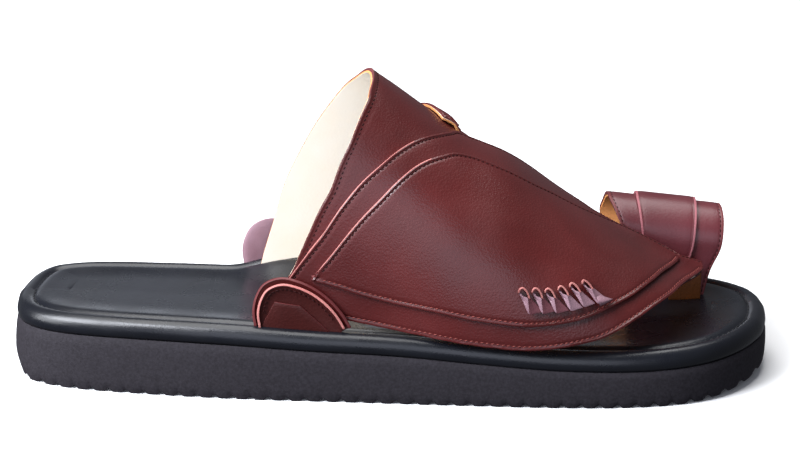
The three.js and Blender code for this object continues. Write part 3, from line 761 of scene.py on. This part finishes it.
def make_footbed():
    """Rings from the joint with the foam over the rolled rim, across the stitch groove to the middle."""
    stations = 150
    rings = [outline(-inset * MM, stations) for inset, _ in FOOTBED_SECTION]
    count = len(rings[0])
    inner_rows = 7
    hollow = 0.02

    def lifted(p, share):
        """A point of the plan at a share of the board's thickness."""
        return Vector((p.x, p.y, foam_top(p.x) + GAP * 0.2 + share * (FOOTBED + GAP * 0.8 + arch_support(p.x, p.y))))

    def place(i, j):
        k = i % count
        if j < len(FOOTBED_SECTION):
            return lifted(rings[j][k], FOOTBED_SECTION[j][1])
        t = (j - len(FOOTBED_SECTION) + 1) / inner_rows
        p, q = rings[-1][k], rings[-1][(count - k) % count]
        return lifted(p.lerp((p + q) / 2, t), FOOTBED_SECTION[-1][1] - hollow * t)

    obj = grid("wrapped_footbed", count, len(FOOTBED_SECTION) - 1 + inner_rows, place)
    close_up(obj, 0.00003)
    obj.data.materials.append(GLOSS)
    soft_shade(obj, 60)
    keep(obj, "footbed")
    line = [Vector((p.x, p.y, foam_top(p.x) + GROOVE_SHARE * (FOOTBED + arch_support(p.x, p.y)) + 0.35 * MM))
            for p in outline(-GROOVE_INSET, 400)]
    line.append(line[0])
    sew_line("footbed_stitches", line, [Vector((0, 0, 1))] * len(line), DARK_THREAD, 3.2 * MM, 0.3 * MM, 0)


# ---------------------------------------------------------------- upper
# along, up: the band's throat edge on the outer and the inner side, and its front edge on the inner side
THROAT_OUTER = ((0.335, -0.02), (0.377, 0.218), (0.391, 0.32), (0.404, 0.416), (0.417, 0.509), (0.43, 0.585),
                (0.442, 0.686), (0.455, 0.773), (0.467, 0.865), (0.474, 0.909), (0.479, 0.941))
THROAT_INNER = ((0.315, -0.02), (0.325, 0.09), (0.339, 0.233), (0.355, 0.403), (0.377, 0.555), (0.398, 0.68),
                (0.419, 0.783), (0.441, 0.878), (0.462, 0.945))
THROAT_TOP = 0.482
BAND_FRONT = ((0.455, -0.02), (0.46, 0.1), (0.49, 0.35), (0.54, 0.62), (0.585, 0.735))
# the leaves: along, up where the side view gives the edge, and along, across where it runs on over the ridge
LEAF_UPPER_SIDE = ((0.355, 0.1), (0.384, 0.246), (0.417, 0.392), (0.442, 0.515), (0.468, 0.619), (0.493, 0.692),
                   (0.518, 0.753), (0.542, 0.785))
LEAF_UPPER_PLAN = ((0.568, -0.31), (0.58, -0.19), (0.592, -0.05), (0.62, 0.06), (0.66, 0.17), (0.7, 0.26),
                   (0.74, 0.25), (0.775, 0.15), (0.8, 0.13), (0.83, 0.145), (0.86, 0.09), (0.88, 0.09),
                   (0.9, 0.14), (0.916, 0.15))
LEAF_LOWER = ((0.355, 0.1), (0.4, 0.067), (0.453, 0.043), (0.492, 0.028), (0.517, 0.021), (0.568, 0.015),
              (0.618, 0.012), (0.668, 0.011), (0.692, 0.018), (0.717, 0.032), (0.742, 0.05), (0.767, 0.072),
              (0.792, 0.109), (0.818, 0.151), (0.845, 0.184), (0.864, 0.194), (0.875, 0.198), (0.887, 0.195),
              (0.9, 0.185))
LEAF_TIP = ((0.915, -0.03),)
TOP_UPPER_SIDE = ((0.405, 0.211), (0.416, 0.265), (0.429, 0.319), (0.442, 0.375), (0.468, 0.481), (0.493, 0.567),
                  (0.518, 0.649), (0.543, 0.707))
TOP_UPPER_PLAN = ((0.568, -0.56), (0.593, -0.44), (0.618, -0.375), (0.64, -0.355), (0.663, -0.325),
                  (0.683, -0.29), (0.723, -0.16), (0.777, -0.03), (0.82, 0.04), (0.85, 0.05), (0.87, 0.03),
                  (0.884, -0.01))
TOP_LOWER = ((0.405, 0.211), (0.441, 0.186), (0.467, 0.164), (0.517, 0.141), (0.568, 0.134), (0.617, 0.124),
             (0.667, 0.118), (0.692, 0.124), (0.717, 0.137), (0.742, 0.155), (0.767, 0.182), (0.805, 0.225),
             (0.835, 0.252), (0.857, 0.256))
TOP_TIP = ((0.867, -0.34), (0.876, -0.21), (0.882, -0.1))
INNER_REAR = ((0.345, -0.02), (0.375, 0.2), (0.41, 0.4), (0.45, 0.58), (0.49, 0.71), (0.525, 0.775))
INNER_REAR_OVER = ((0.558, 0.2), (0.573, 0.035))
INNER_FRONT = ((0.455, -0.02), (0.465, 0.1), (0.49, 0.33), (0.53, 0.56), (0.57, 0.685))
INNER_FRONT_OVER = ((0.588, 0.25), (0.598, 0.06))
RIDGE = PI / 2
# along, turn: the band's front edge where the leaf covers it
BAND_FRONT_COVERED = ((0.4, 0.0), (0.47, 0.35), (0.53, 0.75), (0.58, 1.15), (0.61, RIDGE))
BAND_LEATHER = 1.3 * MM
LINING_LEATHER = 0.9 * MM


def places(side_rows, plan_rows=(), out=0.0, inner=False):
    return [from_side(a, u, out, inner) for a, u in side_rows] + [from_plan(a, c, out) for a, c in plan_rows]


def throat_edge():
    outer, inner = places(THROAT_OUTER), places(reversed(THROAT_INNER), inner=True)
    outer_foot, inner_foot = (outer[0][0] - 0.004, 0.0), (inner[-1][0] - 0.003, PI)
    return Edge([outer_foot] + outer + [(THROAT_TOP, RIDGE)] + inner + [inner_foot])


def make_band():
    rear = throat_edge()
    front = Edge(list(BAND_FRONT_COVERED) + places(reversed(BAND_FRONT), inner=True) + [(0.45, PI)])
    lower = Edge([rear.at(0), front.at(0)], smooth=False)
    upper = Edge([rear.at(1), front.at(1)], smooth=False)
    panel = Panel(rear, front, lower, upper, 0.0)
    s = ticks(55 * MM, EDGE_TICKS, PLAIN_TICKS, 2.6 * MM)
    t = ticks(rear.length, cell=2.2 * MM)
    band = panel.build("band", s, t, seam_relief([rear.points], 2.0, 0.25, 0.7))
    thicken(band, BAND_LEATHER, MAROON, SHADED_MAROON, ROLLED)
    keep(band, "upper")
    inset = Edge([panel.at(0.016, i / 120) for i in range(121)], smooth=False)
    lining = Panel(inset, front, lower, upper, -BAND_LEATHER).build("band_lining", s, t, lambda *_: 0.0)
    thicken(lining, LINING_LEATHER, LINING, LINING, APRICOT, bevel=0.15 * MM)
    keep(lining)
    inside = Vector((0.02, 0, 0.05))
    sew("throat_stitches", rear, inside, 2.0, THREAD, -STITCH_SUNK, first=0.06, last=0.94)


def outer_leaf(name, rows, out, inner_cells, cut, back):
    """rows are the leaf's upper edge from the side and from above, and its lower edge from the side and from above."""
    side_rows, plan_rows, lower_rows, tip_rows = rows
    lower = Edge(places(lower_rows, tip_rows, out), out)
    panel = leaf_panel(side_rows, plan_rows, lower, out)
    s, t = ticks(lower.length, EDGE_TICKS, EDGE_TICKS), height_ticks(inner_cells)
    leaf = panel.build(name, s, t, seam_relief([panel.upper.points, lower.points]), raw_rear(s, t))
    thicken(leaf, cut, MAROON, back, ROLLED, RAW)
    return leaf, panel, s, t


def sew_leaf(name, panel, inset, lower_from):
    middle, sunk = panel.middle(), panel.out - STITCH_SUNK
    sew(name + "_edge_stitches", panel.upper, middle, inset, THREAD, sunk, first=0.02)
    sew(name + "_lower_stitches", panel.lower, middle, inset, LIGHT_THREAD, sunk, radius=0.25 * MM, first=lower_from)


def make_leaf():
    """The big leaf, with a lining cut a little short of it."""
    rows = LEAF_UPPER_SIDE, LEAF_UPPER_PLAN, LEAF_LOWER, LEAF_TIP
    leaf, panel, s, t = outer_leaf("big_leaf", rows, STEP, 26, BAND_LEATHER, LINING)
    keep(leaf)
    short_s = [0.008 + 0.984 * v for v in s]
    lining = panel.build("big_leaf_lining", short_s, lambda span: [0.02 + 0.96 * v for v in t(span)],
                         lambda *_: -1.35 * MM)
    thicken(lining, LINING_LEATHER, LINING, APRICOT, ROLLED, bevel=0.15 * MM)
    keep(lining)
    sew_leaf("leaf", panel, 1.5, 0.1)


def make_top_leaf():
    rows = TOP_UPPER_SIDE, TOP_UPPER_PLAN, TOP_LOWER, TOP_TIP
    leaf, panel, _, _ = outer_leaf("top_leaf_leather", rows, STEP + GAP + 1.2 * MM, 18, 1.4 * MM, SHADED_MAROON)
    keep(leaf, "top_leaf")
    sew_leaf("top", panel, 1.4, 0.02)


def make_inner_leaf():
    """The strap outside the band on the inner side; its top edge stands clear and shows the lining."""
    out = GAP + INNER_LEAF
    rear = Edge(places(INNER_REAR, INNER_REAR_OVER, out, True), out)
    front = Edge(places(INNER_FRONT, INNER_FRONT_OVER, out, True), out)
    lower = straight(rear.at(0), front.at(0), out)
    upper = straight(rear.at(1), front.at(1), out)
    panel = Panel(rear, front, lower, upper, out)

    def lift(_, s, t):
        return (0.7 * math.sin(PI * s) - 1.2 * smoothstep(s, 0.55, 1.0)) * MM * smoothstep(t, 0.8, 0.97)

    seam = seam_relief([rear.points, front.points, upper.points])
    s = ticks(30 * MM, EDGE_TICKS, EDGE_TICKS)
    t = ticks(rear.length, PLAIN_TICKS, EDGE_TICKS)
    leather_cut = INNER_LEAF / 2
    outer = panel.build("inner_leaf_leather", s, t, lambda *a: seam(*a) + lift(*a))
    thicken(outer, leather_cut, MAROON, SHADED_MAROON, ROLLED)
    keep(outer, "inner_leaf")
    lining = panel.build("inner_leaf_lining", s, t, lambda *a: lift(*a) - leather_cut)
    thicken(lining, 0.85 * MM, LINING, APRICOT, APRICOT, bevel=0.15 * MM)
    keep(lining)
    for name, edge in (("rear", rear), ("front", front), ("upper", upper)):
        sew("inner_leaf_%s_stitches" % name, edge, panel.middle(), 1.5, THREAD, out - 0.15 * MM, last=0.9)


# ---------------------------------------------------------------- slot ears
# share of the ear's length, share of its height
EAR = ((0.05, -0.02), (0.03, 0.3), (0.06, 0.6), (0.14, 0.86), (0.3, 0.99), (0.45, 0.95), (0.62, 0.82), (0.78, 0.6),
       (0.91, 0.32), (1, 0.02))
EAR_LENGTH = 36 * MM
EAR_HEIGHT = 18.5 * MM
EAR_CENTRE = Vector((EAR_LENGTH * 0.47, 0.0))
# the pocket's two lower and two upper corners
EAR_POCKET = ((0.08, -0.08), (0.8, -0.08), (0.24, 0.52), (0.5, 0.46))
EAR_COLUMNS, EAR_ROWS = 48, 16
EAR_LINE = through([Vector((a * EAR_LENGTH, u * EAR_HEIGHT)) for a, u in EAR], 90)
EAR_REACH = measure(EAR_LINE)


def ear_outline(share, size=1.0):
    """A point of the ear's outline, drawn in to its centre by a size."""
    i, t = locate(EAR_REACH, share * EAR_REACH[-1])
    return EAR_CENTRE + (EAR_LINE[i].lerp(EAR_LINE[i + 1], t) - EAR_CENTRE) * size


def ear_place(along, at, out, inner):
    """(along, turn) of a point of the ear's plane, for an ear that starts at a share of the length."""
    x = to_x(along) + at.x
    z = footbed_top(to_x(along)) + at.y
    return from_side(x / LENGTH + 0.5, (z - footbed_top(x)) / INSTEP, out, inner)


def ear_grid(name, along, inner, columns, rows, flat, height, accent=None):
    """A sheet whose points are given flat by flat(s, t), at height(s, t) over the last."""
    def place(i, j):
        s, t = i / columns, j / rows
        out = height(s, t)
        return on_last(*ear_place(along, flat(s, t), out, inner), out)

    obj = grid(name, columns, rows, place, accent)
    side = 1 if inner else -1
    face_out(obj, lambda _: Vector((0, side, 0)))
    return obj


def ear_sheet(name, along, inner, size, outs, accent=None):
    """A scoop of leather standing in its slot. size is its share of the full outline, outs are its distances from
    the last at the foot and at the rim."""
    def flat(s, t):
        foot = Vector((EAR_LENGTH * (0.08 + 0.84 * s), -1.5 * MM))
        return foot.lerp(ear_outline(s, size), 1 - (1 - t) ** 1.4)

    def height(_, t):
        return outs[0] + (outs[1] - outs[0]) * t ** 3

    return ear_grid(name, along, inner, EAR_COLUMNS, EAR_ROWS, flat, height, accent)


def make_ear(name, node, along, inner, first, foot_side):
    """Two layers: the outer one rolled at the rim, the inner one cut short of it with a raw edge, and a pocket. The
    inner layer and the pocket take painted shade, for the shadow in the ear's hollow.
    """
    back_out, seam_out = first + 1.1 * MM, first + 2.9 * MM
    back = ear_sheet(name + "_back", along, inner, 1.0, (back_out, first + 2.4 * MM))
    thicken(back, 1.1 * MM, MAROON, foot_side, ROLLED, bevel=0.3 * MM)
    keep(back, node)
    front = ear_sheet(name + "_front", along, inner, 0.89, (first + 1.9 * MM, first + 3.5 * MM),
                      lambda _, j: j == EAR_ROWS - 1)
    # painted shade: the ear's hollow lies in shadow
    thicken(front, 0.9 * MM, SHADED_MAROON, SHADED_MAROON, RAW, RAW, bevel=0.3 * MM)
    keep(front)

    rim = Edge([ear_place(along, ear_outline(0.1 + 0.82 * i / 60, 0.88), seam_out, inner) for i in range(61)],
               seam_out, smooth=False)
    middle = ear_place(along, EAR_CENTRE, seam_out, inner)
    back_line = Edge(rim.places, back_out, smooth=False)
    sew(name + "_back_stitches", back_line, on_last(*middle, back_out), 0.2, THREAD, first + 1.05 * MM,
        radius=0.24 * MM)
    sew(name + "_stitches", rim, on_last(*middle, seam_out), 1.5, THREAD, seam_out, radius=0.24 * MM)

    corners = [Vector((x * EAR_LENGTH, z * EAR_HEIGHT)) for x, z in EAR_POCKET]
    low, high = first + 2.5 * MM, first + 3.4 * MM

    def crown(s, t):
        return low + (high - low) * math.sin(PI * 0.5 * t) * math.sin(PI * clamp(s, 0.05, 0.95)) ** 0.4

    pocket = ear_grid(name + "_pocket", along, inner, 18, 8, lambda s, t: between(corners, s, t), crown)
    # painted shade, as for the ear's hollow
    thicken(pocket, 0.8 * MM, SHADED_MAROON, SHADED_MAROON, ROLLED, bevel=0.2 * MM)
    keep(pocket)


# ---------------------------------------------------------------- toe ring
RING_ALONG = 0.864
RING_ACROSS = 0.56
RING_RADIUS = 13.5 * MM
RING_HEIGHT = 35 * MM
RING_LENGTH = 47 * MM
RING_FOOT = 1.5 * MM      # its legs reach this far under the footbed's top
RING_ROWS = 84
# share of the way round from the near foot to the far foot; rear and front end as shares of half the length
RING_ENDS = ((0, -0.6, 0.76), (0.148, -0.56, 0.84), (0.26, -0.64, 0.97), (0.38, -0.84, 0.97), (0.46, -0.96, 0.93),
             (0.54, -1.0, 0.89), (0.64, -1.05, 0.93), (0.74, -1.06, 1), (0.852, -0.62, 0.4), (1, -0.6, 0.05))


def ring_frame():
    x = to_x(RING_ALONG)
    outwards = Matrix.Rotation(math.radians(-5), 4, "Z")
    down_to_toe = Matrix.Rotation(math.radians(5), 4, "Y")
    return Matrix.Translation((x, RING_ACROSS * HALF, footbed_top(x))) @ (outwards @ down_to_toe)


def ring_point(u, share, out, width=1.0):
    """u runs round the ring, share from its rear end to its front end."""
    leg = RING_HEIGHT - RING_RADIUS + RING_FOOT
    arc = PI * RING_RADIUS
    way = u * (2 * leg + arc)
    radius = RING_RADIUS + out
    if way < leg:
        y, z = -radius, way - RING_FOOT
    elif way > leg + arc:
        y, z = radius, 2 * leg + arc - way - RING_FOOT
    else:
        angle = (way - leg) / RING_RADIUS
        y, z = -radius * math.cos(angle), leg - RING_FOOT + radius * math.sin(angle)
    rear, front = column(RING_ENDS, 1, u) * width, column(RING_ENDS, 2, u) * width
    x = (rear + (front - rear) * share) * RING_LENGTH / 2
    return Vector((x, y, z))


def ring_sheet(name, out, width, cut, materials, relief=0.0, inset=0.0, border=EDGE_TICKS):
    """relief is the depth in millimetres of the groove along each edge."""
    matrix = ring_frame()
    length = RING_LENGTH * width
    shares = [inset / length + v * (1 - 2 * inset / length) for v in ticks(length, border, border, 2.6 * MM)]

    def place(i, j):
        s = shares[i]
        edge = min(s, 1 - s) * length / MM
        drop = relief * MM * math.exp(-(((edge - 1.5) / 0.5) ** 2)) + 0.15 * MM * math.exp(-((edge / 0.4) ** 2))
        p = matrix @ ring_point(j / RING_ROWS, s, out - drop, width)
        return p + Vector((0, 0, slack(p) * 0.5))

    last = len(shares) - 2
    obj = grid(name, len(shares) - 1, RING_ROWS, place, lambda i, _: i in (0, last))
    middle = matrix @ Vector((0, 0, RING_HEIGHT - RING_RADIUS))
    face_out(obj, lambda p: p - middle)
    thicken(obj, cut, *materials)
    return obj


def ring_stitches():
    """Stitches round the ring beside its rear and front edge."""
    matrix = ring_frame()
    inset = 1.5 * MM / RING_LENGTH
    out = -STITCH_SUNK
    for part, share in (("rear", inset), ("front", 1 - inset)):
        ways = [0.04 + 0.92 * i / 200 for i in range(201)]
        line = [matrix @ ring_point(way, share, out) for way in ways]
        over = [matrix @ ring_point(way, share, out + 1 * MM) for way in ways]
        sew_line("toe_ring_%s_stitches" % part, line, [(q - p).normalized() for p, q in zip(line, over)], THREAD)


def make_toe_ring():
    # the ring and its strap wear the lighter lilac copy of the calf: painted sheen
    outer = ring_sheet("toe_ring_leather", 0.0, 1.0, 1.2 * MM, (RING_SHEEN, SHADED_MAROON, ROLLED, ROLLED), 0.2,
                       border=(0, 1.0, 1.5, 2.0, 2.6))
    keep(outer, "toe_ring")
    lining = ring_sheet("toe_ring_lining", -1.22 * MM, 1.0, LINING_LEATHER, (LINING, APRICOT, APRICOT),
                        inset=0.4 * MM)
    keep(lining)
    strap = ring_sheet("toe_ring_strap_leather", GAP + 1.1 * MM, 0.53, 1.05 * MM,
                       (RING_SHEEN, SHADED_MAROON, STRAP_EDGE, STRAP_EDGE), 0.16, border=(0, 0.9, 1.4, 2.0, 2.6))
    keep(strap, "toe_ring_strap")
    ring_stitches()


# ---------------------------------------------------------------- lace braid
BRAID_X = to_x(0.676)
BRAID_Z = footbed_top(BRAID_X) + 0.232 * INSTEP
# ahead and rise in millimetres, size and extra lean of each loop
BRAID = ((0, 0, 1.0, 0), (4.8, 0, 0.96, 0.02), (9.5, -0.1, 0.92, 0.08), (14.4, 0.5, 0.9, 0.16),
         (18.8, 1.4, 0.86, 0.26), (23.5, 2, 0.82, 0.36))
SHADED_LOOPS = 3            # the first loops lie in the shade of the next: painted shade on their facets
SHADED_FROM = 8             # from this column of their facets

# one loop in millimetres from its centre, forwards and upwards: its arch, and its facet's upper and lower edge
ARCH_OF_LACE = ((-3.5, 3.4), (-3.1, 4.8), (-1.9, 5.5), (-0.6, 4.8), (0.4, 3.2), (1.1, 1.0))
FACET_TOP = ((-3.3, 3.4), (-2.3, 2.1), (0.1, 1.5), (0.7, 1.2), (1.3, 0.9))
FACET_BOTTOM = ((-3.2, 2.9), (-1.5, -0.4), (0.7, -4.5), (3.1, -4.3), (5.7, -3.9))
# the tail's two upper and two lower corners, from the last loop
TAIL = ((1.2, -0.7), (7.5, -3.1), (2.8, -4.9), (7.4, -3.2))


def braid_point(dx, dz, out):
    x, z = BRAID_X + dx * MM, BRAID_Z + dz * MM
    level = STEP + TOP_LEAF + GAP * 2 + out * MM
    return on_last(*from_side(x / LENGTH + 0.5, (z - footbed_top(x)) / INSTEP, level), level)


def make_loop(n, ahead, rise, size, lean):
    """An arch of lace that stands on the leaf with its raw edge outwards, and a folded facet below it."""
    arch, upper, lower = (through(rows, count)
                          for rows, count in ((ARCH_OF_LACE, 20), (FACET_TOP, 16), (FACET_BOTTOM, 16)))
    wall_rows, facet_rows = 5, 8

    def spot(x, z, out):
        return braid_point(ahead + size * (x - z * lean), rise + size * z, out)

    def wall(i, j):
        p = arch[i]
        height = 1.4 + 1.8 * math.sin(PI * clamp(0.15 + 0.75 * i / (len(arch) - 1), 0, 1))
        return spot(p.x, p.y - 1.2 * (1 - j / wall_rows), 0.1 + height * j / wall_rows)

    def facet(i, j):
        share, t = i / (len(upper) - 1), j / facet_rows
        p = upper[i].lerp(lower[i], t)
        fold = 1 - abs(share - 0.5) * 2
        dent = math.exp(-(((share - 0.26) / 0.09) ** 2) - (((t - 0.42) / 0.15) ** 2))
        return spot(p.x, p.y, 0.5 + (0.7 + 1.6 * fold) * (1 - t * 0.4) - dent)

    loop = grid("lace_arch_%d" % n, len(arch) - 1, wall_rows, wall, lambda _, j: j == wall_rows - 1)
    face_out(loop, lambda _: Vector((0, 0, 1)))
    thicken(loop, 0.65 * MM, MAROON, SHADED_MAROON, RAW, RAW, bevel=0.12 * MM)
    # the facet's face carries the lace's painted sheen; on the first loops its far columns carry painted shade
    face = grid("lace_facet_%d" % n, len(upper) - 1, facet_rows, facet,
                lambda i, _: n < SHADED_LOOPS and i >= SHADED_FROM)
    face_out(face, lambda _: Vector((0, -1, 0)))
    thicken(face, 0.6 * MM, LACE_SHEEN, SHADED_MAROON, LACE_SHEEN, LACE_SHADE, bevel=0.12 * MM)
    return [loop, face]


def make_tail():
    """The lace's pointed end, in front of the last loop."""
    columns, rows = 12, 8
    corners = [Vector(p) for p in TAIL]

    def place(i, j):
        s, t = i / columns, j / rows
        at = between(corners, s, t)
        out = 0.9 + 1.6 * (1 - s) * math.sin(PI * t) + 0.5 * math.sin(PI * s)
        return braid_point(BRAID[-1][0] + at.x, BRAID[-1][1] + at.y, out)

    tail = grid("lace_tail", columns, rows, place)
    face_out(tail, lambda _: Vector((0, -1, 0)))
    thicken(tail, 0.8 * MM, LACE_SHEEN, SHADED_MAROON, LACE_SHEEN, bevel=0.15 * MM)
    return tail


def make_braid():
    parts = []
    for n, row in enumerate(BRAID):
        parts += make_loop(n, *row)
    keep(join("lace_loops", parts + [make_tail()]), "lace_braid")


# ---------------------------------------------------------------- toe tab
def make_tab():
    """The tan tab between the toes: from the footbed up to the underside of the leaf's tip."""
    columns, rows = 14, 14
    rear, front = 108.6 * MM, 121.0 * MM
    across = 0.19

    def place(i, j):
        s, t = i / columns, j / rows
        x = rear + (front - rear) * s
        top = on_last(*from_plan(x / LENGTH + 0.5, across, 0.0)).z - 0.6 * MM
        low = footbed_top(x) - 1.2 * MM
        bow = 0.8 * MM * math.sin(PI * t) + 0.4 * MM * math.sin(PI * s)
        return Vector((x, across * HALF - bow, low + (top - low) * t))

    tab = grid("toe_tab", columns, rows, place)
    face_out(tab, lambda _: Vector((0, -1, 0)))
    thicken(tab, 1.8 * MM, TAN, TAN, TAN, bevel=0.3 * MM)
    keep(tab)


# ---------------------------------------------------------------- stage
def make_camera():
    azimuth, elevation, roll = (math.radians(v) for v in (-1.5, 17.5, -0.5))
    distance = 0.8
    look = Vector((math.sin(azimuth) * math.cos(elevation), math.cos(azimuth) * math.cos(elevation),
                   -math.sin(elevation)))
    right = Vector((math.cos(azimuth), -math.sin(azimuth), 0))
    up = right.cross(look)
    turned_right = right * math.cos(roll) + up * math.sin(roll)
    turned_up = up * math.cos(roll) - right * math.sin(roll)
    target = Vector((0.004, 0.003, 0.0535))
    camera = bpy.data.objects.new("camera", bpy.data.cameras.new("camera"))
    bpy.context.collection.objects.link(camera)
    matrix = Matrix((turned_right, turned_up, -look)).transposed().to_4x4()
    matrix.translation = target - look * distance
    camera.matrix_world = matrix
    camera.data.lens = 93.6
    camera.data.sensor_width = 36
    camera.data.clip_start = 0.01
    bpy.context.scene.camera = camera


# name, place, target, size, power, colour
LIGHTS = (
    ("left_window", (-0.8, -0.5, 0.88), (0, 0, 0.03), (0.65, 0.65), 27, (0.9, 0.93, 1.0)),
    ("side_window", (-0.95, -0.35, 0.38), (0, 0, 0.05), (0.6, 0.6), 8, (0.92, 0.95, 1.0)),
    ("top_softbox", (-0.1, 0.15, 1.2), (0, 0.1, 0.0), (1.4, 0.9), 19, (1, 1, 1)),
    ("front_window", (-0.15, -1.15, 0.36), (0, 0, 0.05), (1.0, 0.7), 4.2, (0.8, 0.85, 1.0)),
    ("heel_panel", (-0.35, 1.25, 0.4), (-0.1, 0, 0.03), (0.7, 0.4), 0.22, (0.85, 0.9, 1.0)),
    ("low_panel", (-0.3, 1.25, 0.17), (-0.1, 0, 0.03), (0.9, 0.16), 0.5, (0.85, 0.9, 1.0)),
)


def make_light(name, place, target, size, power, colour):
    data = bpy.data.lights.new(name, "AREA")
    data.shape = "RECTANGLE"
    data.size, data.size_y = size
    data.energy = power
    data.color = colour
    light = bpy.data.objects.new(name, data)
    bpy.context.collection.objects.link(light)
    light.location = place
    light.rotation_euler = (Vector(target) - Vector(place)).to_track_quat("-Z", "Y").to_euler()
    light.visible_camera = False


def make_stage():
    bpy.ops.mesh.primitive_plane_add(size=6, location=(0, 0, 0))
    floor = bpy.context.object
    floor.name = "floor"
    finish = Finish("floor_paper", Roughness=0.9, Specular_IOR_Level=0.1)
    tone = finish.noise(3.0, 2.0).outputs["Fac"]
    finish.link(finish.ramp(tone, (0.0, (0.93, 0.93, 0.93, 1)), (1.0, (0.95, 0.95, 0.95, 1))), "Base Color")
    floor.data.materials.append(finish.material)
    floor.visible_diffuse = False
    floor.visible_glossy = False
    world = bpy.data.worlds.new("studio")
    world.use_nodes = True
    world.node_tree.nodes["Background"].inputs["Color"].default_value = (0.86, 0.9, 1, 1)
    world.node_tree.nodes["Background"].inputs["Strength"].default_value = 0.16
    scene = bpy.context.scene
    scene.world = world
    scene.view_settings.view_transform = "Standard"
    for light in LIGHTS:
        make_light(*light)


make_camera()
make_foam_sole()
make_footbed()
make_band()
make_leaf()
make_top_leaf()
make_inner_leaf()
make_ear("outer_ear", "ear_outer", 0.328, False, STEP + GAP, SHADED_MAROON)
# the inner ear's foot side, seen across the throat, takes the lace's painted sheen; the outer ear's takes painted
# shade
make_ear("inner_ear", "ear_inner", 0.292, True, INNER_LEAF + GAP * 2, LACE_SHEEN)
make_toe_ring()
make_braid()
make_tab()
make_stage()
